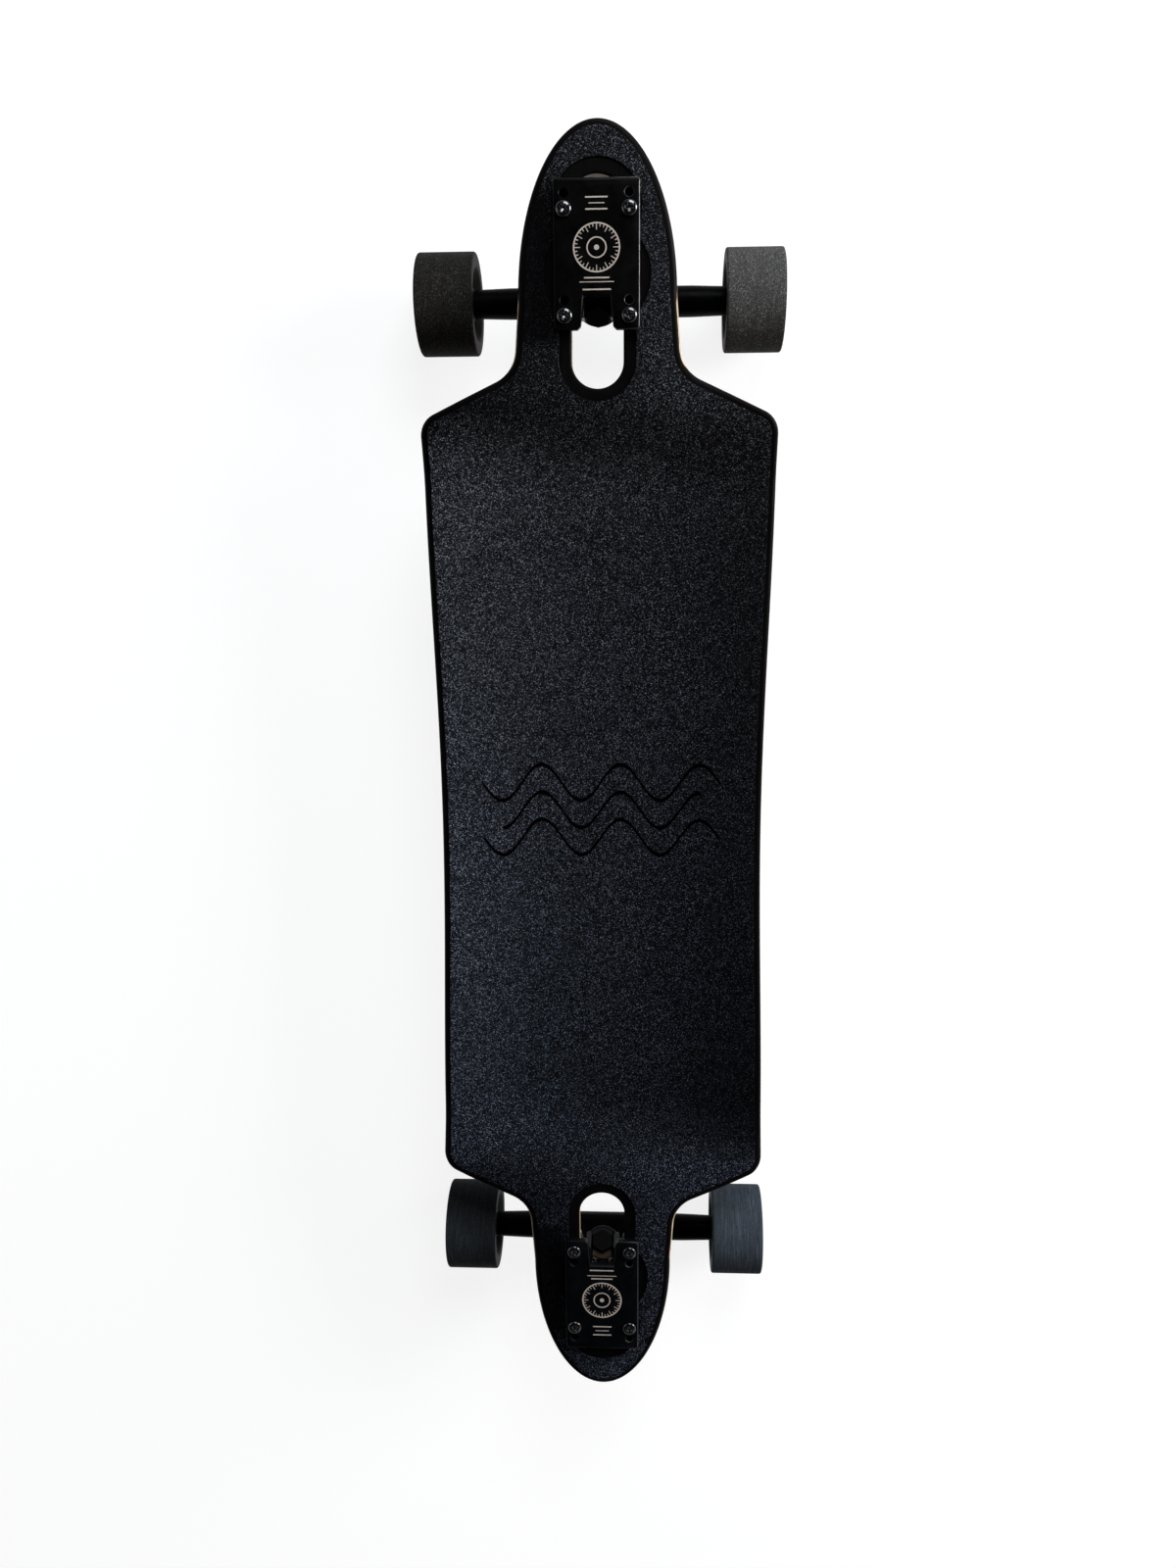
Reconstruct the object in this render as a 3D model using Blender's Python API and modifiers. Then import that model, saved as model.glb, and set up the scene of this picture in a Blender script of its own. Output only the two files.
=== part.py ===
"""Drop-through longboard with reverse-kingpin trucks, modelled piece by piece.

The board lies along Y with its nose at +Y, X is to the right and Z is up. The origin is on the
ground under the middle of the board. All lengths are in metres.

Each truck is built once in a truck frame (origin in the middle of its four mounting bolts, on top
of the baseplate, +Y outboard) and in a tilted frame inside it, whose Y is the steering axis and
whose Z is the kingpin, pointing from the nut up to the head.
"""

from math import acos, atan2, cos, pi, radians, sin, sqrt, tan

import bmesh
import bpy
from mathutils import Matrix, Vector

# Clearances
SEAT_GAP = 0.0003
RUN_GAP = 0.0003

# Deck outline
DECK_LENGTH = 0.9000
PLATFORM_WIDTH = 0.2366
WAIST_WIDTH = 0.2268
NECK_WIDTH = 0.1024
NECK_TIP_LENGTH = 0.1050
NECK_FLARE = 0.0035
CORNER_FROM_TIP = 0.1790
SHOULDER_ANGLE = radians(25.0)
CORNER_RADIUS = 0.0160
NECK_RADIUS = 0.0200

# Deck section
DECK_THICKNESS = 0.0120
DECK_EDGE_ROUND = 0.0028
PLATFORM_DROP = 0.0200
RAMP_LENGTH = 0.0600
RAMP_TOP_FROM_TIP = 0.1650
CONCAVE_RISE = 0.0070
FLAT_STRIP_WIDTH = 0.0700
CONCAVE_POWER = 1.6
GRIP_THICKNESS = 0.0009
GRIP_INSET = 0.0048

# Opening through the deck under each truck
SLOT_WIDTH = 0.0336
SLOT_INBOARD_FROM_TIP = 0.1622
SLOT_OUTBOARD_FROM_TIP = 0.0326
SLOT_BULGE_RADIUS = 0.0208
SLOT_BULGE_FROM_TIP = 0.0930
GRIP_OPENING_MARGIN = 0.0082
GRIP_BULGE_RADIUS = 0.0345
GRIP_END_RADIUS = 0.0286  # round outboard end of the opening in the grip sheet
GRIP_END_MARGIN = 0.0098

# Truck position and mounting bolts
BOLT_CENTRE_FROM_TIP = 0.0868
BOLT_SPACING_ACROSS = 0.0413
BOLT_SPACING_ALONG = 0.0635
SPARE_HOLE_STEP = 0.0095
BOLT_DIAMETER = 0.0048
BOLT_HEAD_DIAMETER = 0.0100
BOLT_HEAD_HEIGHT = 0.0028
BOLT_HEAD_RIM = 0.0010
BOLT_CROWN_DIAMETER = 0.0062
BOLT_CROWN_DOME = 0.0002
BOLT_HOLE_DIAMETER = 0.0058
BOLT_TAIL = 0.0020
LOCK_NUT_ACROSS_FLATS = 0.0095
LOCK_NUT_HEIGHT = 0.0052
LOCK_NUT_COLLAR = 0.88  # a lock nut's round collar, as a share of its width across flats

# Baseplate
PLATE_LENGTH = 0.0902
PLATE_WIDTH = 0.0546
PLATE_THICKNESS = 0.0060
PLATE_SHIFT_OUTBOARD = 0.0049
PLATE_CORNER_RADIUS = 0.0040
PLATE_EDGE_CHAMFER = 0.0007
NOTCH_DEPTH = 0.0206
NOTCH_WIDTH = 0.0174
NOTCH_MOUTH_WIDTH = 0.0206
NOTCH_CHAMFER = 0.0022
RIB_SPACING = 0.0206
RIB_THICKNESS = 0.0045
RIB_DEPTH = 0.0080
KEEL_THICKNESS = 0.0100
KEEL_DEPTH = 0.0060

# Steering geometry
STEER_ANGLE = radians(48.0)
AXLE_DROP = 0.0650
AXLE_INSET = 0.0135
AXLE_SETBACK = 0.0239
AXLE_RAKE = 0.0051

# Kingpin, bushings and their washers
THREAD_CHAMFER = 0.0009
KINGPIN_DIAMETER = 0.0095
KINGPIN_ACROSS_FLATS = 0.0143
KINGPIN_HEAD_HEIGHT = 0.0054
KINGPIN_TAIL = 0.0020
KINGPIN_NUT_HEIGHT = 0.0055
KINGPIN_NUT_COLLAR = 0.0025
KINGPIN_WALL = 0.0123
BOSS_DIAMETER = 0.0255
BOSS_FLANGE_DIAMETER = 0.0290
BOSS_FLANGE_HEIGHT = 0.0040
BUSHING_DIAMETER = 0.0270
BUSHING_HEIGHT = 0.0150
BUSHING_CONE_DIAMETER = 0.0225
BUSHING_EDGE = 0.0012
WASHER_THICKNESS = 0.0018
WASHER_DIAMETER = 0.0282

# Hanger
HANGER_WIDTH = 0.1800
BEAM_DIAMETER_MIDDLE = 0.0208
BEAM_DIAMETER_NECK = 0.0203
BEAM_DIAMETER_END = 0.0187
BEAM_NECK_FROM_MIDDLE = 0.0620
END_COLLAR_DIAMETER = 0.0220
END_COLLAR_WIDTH = 0.0022
RING_DIAMETER = 0.0350
RING_WEB = 0.0070
RING_RIM = 0.0027
RING_HOLE_DIAMETER = 0.0144
WING_THICKNESS = 0.0105
WING_SPAN = 0.0980
WING_EDGE = 0.0014
WING_SHOULDER_SPAN = 0.0410
WING_SHOULDER_FROM_BEAM = 0.0148
WING_TIP_SHARE = 0.5  # the wing's tip, as a share of the beam's width
WING_FAIRING_STEPS = 4
PIVOT_ARM_DIAMETER = 0.0180
PIVOT_SHOULDER_DIAMETER = 0.0148
PIVOT_NOSE_DIAMETER = 0.0124
PIVOT_NOSE_LENGTH = 0.0096
PIVOT_NOSE_CHAMFER = 0.0030
PIVOT_ARM_BLEND = 0.0206

# Pivot cup and its housing in the baseplate
PIVOT_FROM_RING = 0.0330
CUP_WALL = 0.0026
CUP_LENGTH = 0.0114
CUP_FLOOR = 0.0014
HOUSING_WALL = 0.0040

# Axle and wheel hardware
AXLE_DIAMETER = 0.0080
SPEED_WASHER_DIAMETER = 0.0118
SPEED_WASHER_THICKNESS = 0.0010
BEARING_SPACER = 0.0074
SPACER_DIAMETER = 0.0100
AXLE_NUT_ACROSS_FLATS = 0.0130
AXLE_NUT_HEIGHT = 0.0046
AXLE_NUT_COLLAR = 0.0019
AXLE_TAIL = 0.0008
BEARING_OUTER_DIAMETER = 0.0220
BEARING_WIDTH = 0.0070

# Wheels
WHEEL_DIAMETER = 0.0680
WHEEL_WIDTH = 0.0390
WHEEL_LIP = 0.0045
WHEEL_FACE_WIDTH = 0.0045
CORE_DIAMETER = 0.0340
CORE_OVERHANG = 0.0006
CORE_SHOULDER_DIAMETER = 0.0172
CORE_OFFSET = 0.0014
CORE_POCKETS = 6
CORE_POCKET_DEPTH = 0.0022
CORE_POCKET_WIDTH = 0.0036

# Facets round each turned shape
TREAD_STEPS = 28
CORE_STEPS = 16
BEARING_STEPS = 12
BUSHING_STEPS = 12
BEAM_STEPS = 12
SHAFT_STEPS = 8
BOLT_STEPS = 8
HOLE_STEPS = 8
ARC_STEPS = 3

# Places along the board that follow from its length, from the middle
TIP = DECK_LENGTH / 2
CORNER_FROM_MIDDLE = TIP - CORNER_FROM_TIP
RAMP_TOP_FROM_MIDDLE = TIP - RAMP_TOP_FROM_TIP
SLOT_INBOARD_END = TIP - SLOT_INBOARD_FROM_TIP
SLOT_OUTBOARD_END = TIP - SLOT_OUTBOARD_FROM_TIP
SLOT_BULGE_FROM_MIDDLE = TIP - SLOT_BULGE_FROM_TIP
BOLT_CENTRE_FROM_MIDDLE = TIP - BOLT_CENTRE_FROM_TIP

# Heights that follow from the sizes above
AXLE_HEIGHT = WHEEL_DIAMETER / 2 * cos(pi / TREAD_STEPS)
PLATE_TOP = AXLE_HEIGHT + AXLE_DROP
PLATE_BOTTOM = PLATE_TOP - PLATE_THICKNESS
GRIP_TOP = PLATE_BOTTOM - SEAT_GAP
GRIP_BOTTOM = GRIP_TOP - GRIP_THICKNESS
DECK_TOP = GRIP_BOTTOM - SEAT_GAP
DECK_BOTTOM = DECK_TOP - DECK_THICKNESS

# Places along the kingpin, from the middle of the hanger's ring
BUSHING_START = RING_WEB / 2 + SEAT_GAP
BUSHING_END = BUSHING_START + BUSHING_HEIGHT
WASHER_START = BUSHING_END + SEAT_GAP
WASHER_END = WASHER_START + WASHER_THICKNESS
BOSS_FACE = WASHER_END + SEAT_GAP
HEAD_SEAT = BOSS_FACE + KINGPIN_WALL
HEAD_BOTTOM = HEAD_SEAT + SEAT_GAP
HEAD_TOP = HEAD_BOTTOM + KINGPIN_HEAD_HEIGHT
NUT_START = WASHER_END + SEAT_GAP
NUT_END = NUT_START + KINGPIN_NUT_HEIGHT + KINGPIN_NUT_COLLAR

# Places along the axle, from the middle of the board
WASHER_IN = HANGER_WIDTH / 2 + SEAT_GAP
BEARING_IN = WASHER_IN + SPEED_WASHER_THICKNESS + RUN_GAP
SPACER_IN = BEARING_IN + BEARING_WIDTH + RUN_GAP
BEARING_OUT = SPACER_IN + BEARING_SPACER + RUN_GAP
WASHER_OUT = BEARING_OUT + BEARING_WIDTH + RUN_GAP
AXLE_NUT_START = WASHER_OUT + SPEED_WASHER_THICKNESS + SEAT_GAP
AXLE_END = AXLE_NUT_START + AXLE_NUT_HEIGHT + AXLE_NUT_COLLAR + AXLE_TAIL
CORE_MIDDLE = (SPACER_IN + BEARING_OUT - RUN_GAP) / 2
WHEEL_MIDDLE = CORE_MIDDLE + CORE_OFFSET

PARTS = None
SHAPING = None


def clear_scene():
    """Remove every object of the open file."""
    for old in list(bpy.data.objects):
        bpy.data.objects.remove(old, do_unlink=True)


def new_collection(name):
    """Add a collection under the scene."""
    made = bpy.data.collections.new(name)
    bpy.context.scene.collection.children.link(made)
    return made


def material(name, colour, roughness, metallic=0.0):
    """Make a plain Principled material."""
    made = bpy.data.materials.new(name)
    made.use_nodes = True
    shader = made.node_tree.nodes["Principled BSDF"]
    shader.inputs["Base Color"].default_value = (*colour, 1.0)
    shader.inputs["Roughness"].default_value = roughness
    shader.inputs["Metallic"].default_value = metallic
    made.diffuse_color = (*colour, 1.0)
    return made


def smooth_shade(mesh):
    """Shade round faces smooth and keep the edges over 35 degrees sharp."""
    mesh.shade_smooth()
    mesh.set_sharp_from_angle(angle=radians(35.0))


def piece(name, mesh, finish, parent=None, matrix=None):
    """Put one finished mesh into the model as a named piece."""
    made = bpy.data.objects.new(name, mesh)
    PARTS.objects.link(made)
    if not mesh.materials:
        mesh.materials.append(finish)
    made.parent = parent
    if matrix is not None:
        made.matrix_local = matrix
    return made


def frame(name, parent=None, matrix=None):
    """Add an empty that carries pieces, at a place in its parent's frame."""
    made = bpy.data.objects.new(name, None)
    made.empty_display_size = 0.02
    PARTS.objects.link(made)
    made.parent = parent
    if matrix is not None:
        made.matrix_local = matrix
    return made


def shaping_object(mesh, matrix=None):
    """Put a mesh beside the model for a Boolean."""
    made = bpy.data.objects.new("shaping", mesh)
    SHAPING.objects.link(made)
    made.hide_render = True
    made.display_type = "WIRE"
    if matrix is not None:
        made.matrix_world = matrix
    return made


def evaluated_mesh(source):
    """Read an object's mesh with its modifiers, in its own frame."""
    bpy.context.view_layer.update()
    seen = source.evaluated_get(bpy.context.evaluated_depsgraph_get())
    return bpy.data.meshes.new_from_object(seen)


def combine(base, joined=(), cut=()):
    """Join shapes to a base and cut others out of it, each given as (mesh, matrix)."""
    body = shaping_object(base)
    helpers = []
    for operation, shapes in (("UNION", joined), ("DIFFERENCE", cut)):
        for mesh, matrix in shapes:
            helper = shaping_object(mesh, matrix)
            helpers.append(helper)
            step = body.modifiers.new(operation.lower(), "BOOLEAN")
            step.operation = operation
            step.solver = "EXACT"
            step.object = helper
    made = evaluated_mesh(body)
    for used in [body, *helpers]:
        bpy.data.objects.remove(used, do_unlink=True)
    return tidy(made)


def tidy(mesh):
    """Merge what a Boolean leaves doubled and dissolve its slivers."""
    work = bmesh.new()
    work.from_mesh(mesh)
    bmesh.ops.remove_doubles(work, verts=work.verts, dist=2e-6)
    bmesh.ops.dissolve_degenerate(work, edges=work.edges, dist=2e-6)
    work.to_mesh(mesh)
    work.free()
    smooth_shade(mesh)
    return mesh


def turned(profile, steps, closed=False):
    """Turn a profile of (radius, height) points about Z, given from top to bottom."""
    line = bpy.data.meshes.new("profile")
    edges = [(i, i + 1) for i in range(len(profile) - 1)]
    if closed:
        edges.append((len(profile) - 1, 0))
    line.from_pydata([(radius, 0.0, height) for radius, height in profile], edges, [])
    spun = shaping_object(line)
    screw = spun.modifiers.new("turn", "SCREW")
    screw.steps = steps
    screw.render_steps = steps
    screw.use_merge_vertices = True
    screw.merge_threshold = 1e-6
    made = evaluated_mesh(spun)
    bpy.data.objects.remove(spun, do_unlink=True)
    smooth_shade(made)
    return made


def rod(radius, bottom, top, steps):
    """Turn a plain rod between two heights."""
    return turned([(0.0, top), (radius, top), (radius, bottom), (0.0, bottom)], steps)


def ring(inner, outer, bottom, top, steps):
    """Turn a plain ring."""
    return turned([(outer, top), (outer, bottom), (inner, bottom), (inner, top)], steps, closed=True)


def hexagon(across_flats, bottom, top):
    """Make a hexagonal bar between two heights."""
    made = bpy.data.meshes.new("hexagon")
    work = bmesh.new()
    corner = across_flats / 2 / cos(pi / 6)
    bmesh.ops.create_cone(
        work,
        cap_ends=True,
        segments=6,
        radius1=corner,
        radius2=corner,
        depth=top - bottom,
        matrix=Matrix.Translation((0.0, 0.0, (top + bottom) / 2)),
    )
    work.to_mesh(made)
    work.free()
    return made


def block(low, high):
    """Make a box between two corners."""
    made = bpy.data.meshes.new("block")
    work = bmesh.new()
    size = Vector(high) - Vector(low)
    middle = (Vector(high) + Vector(low)) / 2
    bmesh.ops.create_cube(work, size=1.0, matrix=Matrix.Translation(middle) @ Matrix.Diagonal((*size, 1.0)))
    work.to_mesh(made)
    work.free()
    return made


def sheet(outlines, bottom, top, edge=0.0, rings=0):
    """Fill flat outlines, holes included, between two heights, with an optional edge round."""
    curve = bpy.data.curves.new("outline", "CURVE")
    curve.dimensions = "2D"
    curve.fill_mode = "BOTH"
    curve.extrude = (top - bottom) / 2 - edge
    curve.bevel_depth = edge
    curve.bevel_resolution = rings
    curve.offset = -edge
    for outline in outlines:
        spline = curve.splines.new("POLY")
        spline.points.add(len(outline) - 1)
        for point, (x, y) in zip(spline.points, outline):
            point.co = (x, y, 0.0, 1.0)
        spline.use_cyclic_u = True
    flat = bpy.data.objects.new("outline", curve)
    SHAPING.objects.link(flat)
    made = evaluated_mesh(flat)
    bpy.data.objects.remove(flat, do_unlink=True)
    work = bmesh.new()
    work.from_mesh(made)
    bmesh.ops.remove_doubles(work, verts=work.verts, dist=1e-6)
    bmesh.ops.translate(work, verts=work.verts, vec=(0.0, 0.0, (top + bottom) / 2))
    work.to_mesh(made)
    work.free()
    return made


def arc(centre, radius, start, end, steps=ARC_STEPS):
    """List points along an arc, both ends included, for angles in radians."""
    return [
        (
            centre[0] + radius * cos(start + (end - start) * i / steps),
            centre[1] + radius * sin(start + (end - start) * i / steps),
        )
        for i in range(steps + 1)
    ]


def fillet(before, corner, after, radius, steps=ARC_STEPS):
    """Round the corner between two straight runs and list the points of the round."""
    here = Vector(corner)
    back = (Vector(before) - here).normalized()
    ahead = (Vector(after) - here).normalized()
    half = back.angle(ahead) / 2
    centre = here + (back + ahead).normalized() * radius / sin(half)
    start = here + back * radius / tan(half) - centre
    end = here + ahead * radius / tan(half) - centre
    first = atan2(start.y, start.x)
    turn = (atan2(end.y, end.x) - first + pi) % (2 * pi) - pi
    return arc(centre, radius, first, first + turn, steps)


def mirrored(quarter):
    """Complete an outline from its quarter with x and y at least 0, given from the x axis."""
    right = [(x, -y) for x, y in reversed(quarter[1:])] + list(quarter)
    return right + [(-x, y) for x, y in reversed(right[1:-1])]


def smoothstep(value):
    """Ease from 0 to 1 over the unit interval."""
    value = min(max(value, 0.0), 1.0)
    return value * value * (3.0 - 2.0 * value)


# Deck and grip


def deck_outline(inset=0.0):
    """Trace the deck's plan from its waist to the tip of the nose, then mirror it."""
    side_points = 4
    tip_points = 8
    platform = PLATFORM_WIDTH / 2
    waist = WAIST_WIDTH / 2
    neck = NECK_WIDTH / 2
    neck_start = TIP - NECK_TIP_LENGTH
    corner = (platform - inset, CORNER_FROM_MIDDLE - inset * tan(SHOULDER_ANGLE / 2))
    neck_at_corner = neck + NECK_FLARE - inset
    run = corner[0] - neck_at_corner
    armpit = (neck_at_corner, corner[1] + run * tan(SHOULDER_ANGLE))
    neck_point = (neck - inset, neck_start)
    side_end = corner[1] - CORNER_RADIUS * tan((pi / 2 - SHOULDER_ANGLE) / 2)
    quarter = []
    for i in range(side_points):
        share = i / side_points
        width = waist + (platform - waist) * (1.0 - cos(pi * share)) / 2
        quarter.append((width - inset, side_end * share))
    quarter += fillet((corner[0], 0.0), corner, armpit, CORNER_RADIUS - inset)
    quarter += fillet(corner, armpit, neck_point, NECK_RADIUS + inset)
    for i in range(tip_points + 1):
        angle = pi / 2 * i / tip_points
        across = (neck - inset) * cos(angle)
        along = neck_start + (NECK_TIP_LENGTH - inset) * sin(angle)
        quarter.append((0.0 if i == tip_points else across, along))
    return mirrored(quarter)


def slot_outline(end, bulge, cap=SLOT_WIDTH / 2, margin=0.0, cap_margin=0.0):
    """Trace the opening under one truck: a slot with a bulge for the bushings and a round outboard cap."""
    half = SLOT_WIDTH / 2 + margin
    inboard = SLOT_INBOARD_END - margin + half
    outboard = SLOT_OUTBOARD_END + cap_margin - cap
    meet = acos(half / bulge)
    right = arc((0.0, inboard), half, -pi / 2, 0.0)
    right += arc((0.0, SLOT_BULGE_FROM_MIDDLE), bulge, -meet, meet, 2 * ARC_STEPS)
    right += arc((0.0, outboard), cap, -acos(half / cap), pi / 2)
    right[0] = (0.0, right[0][1])
    right[-1] = (0.0, right[-1][1])
    whole = right + [(-x, y) for x, y in reversed(right[1:-1])]
    return [(end * x, end * y) for x, y in whole]


def deck_bend(x, y):
    """Give the height of the deck at a point, against its necks: drop, ramps and concave."""
    ramp = smoothstep((abs(y) - RAMP_TOP_FROM_MIDDLE + RAMP_LENGTH) / RAMP_LENGTH)
    flat = FLAT_STRIP_WIDTH / 2
    out = max(abs(x) - flat, 0.0) / (PLATFORM_WIDTH / 2 - flat)
    return (1.0 - ramp) * (CONCAVE_RISE * out**CONCAVE_POWER - PLATFORM_DROP)


def bend_sheet(mesh):
    """Cut a flat sheet along the lines of the bend and lift its points onto the deck's form."""
    ramp_lines = 6
    cup_lines = 3
    flat = FLAT_STRIP_WIDTH / 2
    reach = PLATFORM_WIDTH / 2 - flat
    across = [flat + reach * i / cup_lines for i in range(cup_lines)]
    along = [RAMP_TOP_FROM_MIDDLE - RAMP_LENGTH * i / ramp_lines for i in range(ramp_lines + 1)]
    work = bmesh.new()
    work.from_mesh(mesh)
    bmesh.ops.dissolve_limit(work, angle_limit=radians(0.5), verts=work.verts, edges=work.edges)
    for axis, places in ((Vector((1.0, 0.0, 0.0)), across), (Vector((0.0, 1.0, 0.0)), along)):
        for place in places:
            for side in (-1.0, 1.0):
                everything = [*work.verts, *work.edges, *work.faces]
                bmesh.ops.bisect_plane(work, geom=everything, dist=1e-6, plane_co=axis * place * side, plane_no=axis)
    bmesh.ops.triangulate(work, faces=work.faces, quad_method="BEAUTY", ngon_method="BEAUTY")
    for vert in work.verts:
        vert.co.z += deck_bend(vert.co.x, vert.co.y)
    work.to_mesh(mesh)
    work.free()
    smooth_shade(mesh)
    return mesh


def bolt_places():
    """List the four mounting bolts of a truck in the truck's frame."""
    return [
        (side * BOLT_SPACING_ACROSS / 2, row * BOLT_SPACING_ALONG / 2)
        for row in (-1, 1)
        for side in (-1, 1)
    ]


def build_deck(stain):
    """Make the deck: outline with two openings, edge rounded, bent, then drilled."""
    outlines = [deck_outline(), slot_outline(1, SLOT_BULGE_RADIUS), slot_outline(-1, SLOT_BULGE_RADIUS)]
    board = bend_sheet(sheet(outlines, DECK_BOTTOM, DECK_TOP, DECK_EDGE_ROUND, 0))
    drill = rod(BOLT_HOLE_DIAMETER / 2, DECK_BOTTOM - DECK_THICKNESS, DECK_TOP + DECK_THICKNESS, HOLE_STEPS)
    holes = []
    for end in (-1, 1):
        for x, y in bolt_places():
            place = Vector((x, end * (BOLT_CENTRE_FROM_MIDDLE + y), 0.0))
            holes.append((drill, Matrix.Translation(place)))
    return piece("deck", combine(board, cut=holes), stain)


def build_grip(grit):
    """Make the grip sheet, inset from the edge, with a larger opening round each truck."""
    sizes = GRIP_BULGE_RADIUS, GRIP_END_RADIUS, GRIP_OPENING_MARGIN, GRIP_END_MARGIN
    openings = [slot_outline(end, *sizes) for end in (1, -1)]
    flat = sheet([deck_outline(GRIP_INSET), *openings], GRIP_BOTTOM, GRIP_TOP)
    return piece("grip_sheet", bend_sheet(flat), grit)


# Truck frames

TRUCK_TO_STEER = (
    Matrix.Translation((0.0, -AXLE_INSET, -AXLE_DROP))
    @ Matrix.Rotation(STEER_ANGLE, 4, "X")
    @ Matrix.Translation((0.0, AXLE_SETBACK, AXLE_RAKE))
)
STEER_TO_AXLE = Matrix.Translation((0.0, -AXLE_SETBACK, -AXLE_RAKE))
ALONG_X = Matrix.Rotation(pi / 2, 4, "Y")
ALONG_Y = Matrix.Rotation(-pi / 2, 4, "X")


# Baseplate


def plate_outline():
    """Trace the baseplate's plan, with rounded corners and an open notch at its inboard end."""
    half = PLATE_WIDTH / 2
    outer = PLATE_SHIFT_OUTBOARD + PLATE_LENGTH / 2
    inner = PLATE_SHIFT_OUTBOARD - PLATE_LENGTH / 2
    floor = inner + NOTCH_DEPTH
    mouth = NOTCH_MOUTH_WIDTH / 2
    root = NOTCH_WIDTH / 2
    right = [
        (root, floor),
        (mouth, inner + NOTCH_CHAMFER),
        (mouth + NOTCH_CHAMFER, inner),
    ]
    right += arc((half - PLATE_CORNER_RADIUS, inner + PLATE_CORNER_RADIUS), PLATE_CORNER_RADIUS, -pi / 2, 0.0, 3)
    right += arc((half - PLATE_CORNER_RADIUS, outer - PLATE_CORNER_RADIUS), PLATE_CORNER_RADIUS, 0.0, pi / 2, 3)
    return right + [(-x, y) for x, y in reversed(right)]


def side_plate(outline, thickness, middle):
    """Make a plate standing along the truck from an outline of (outboard, up) points."""
    flat = sheet([outline], -thickness / 2, thickness / 2)
    stand = Matrix(((0.0, 0.0, 1.0, middle), (1.0, 0.0, 0.0, 0.0), (0.0, 1.0, 0.0, 0.0), (0.0, 0.0, 0.0, 1.0)))
    return flat, stand


def trimmed(mesh, matrix, height):
    """Cut off what of a shape stands above a height of the truck frame and close the cut."""
    made = mesh.copy()
    made.transform(matrix)
    work = bmesh.new()
    work.from_mesh(made)
    everything = [*work.verts, *work.edges, *work.faces]
    result = bmesh.ops.bisect_plane(
        work, geom=everything, dist=1e-7, plane_co=(0.0, 0.0, height), plane_no=(0.0, 0.0, 1.0), clear_outer=True
    )
    rim = [item for item in result["geom_cut"] if isinstance(item, bmesh.types.BMEdge)]
    if rim:
        bmesh.ops.contextual_create(work, geom=rim)
    work.to_mesh(made)
    work.free()
    return made


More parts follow.
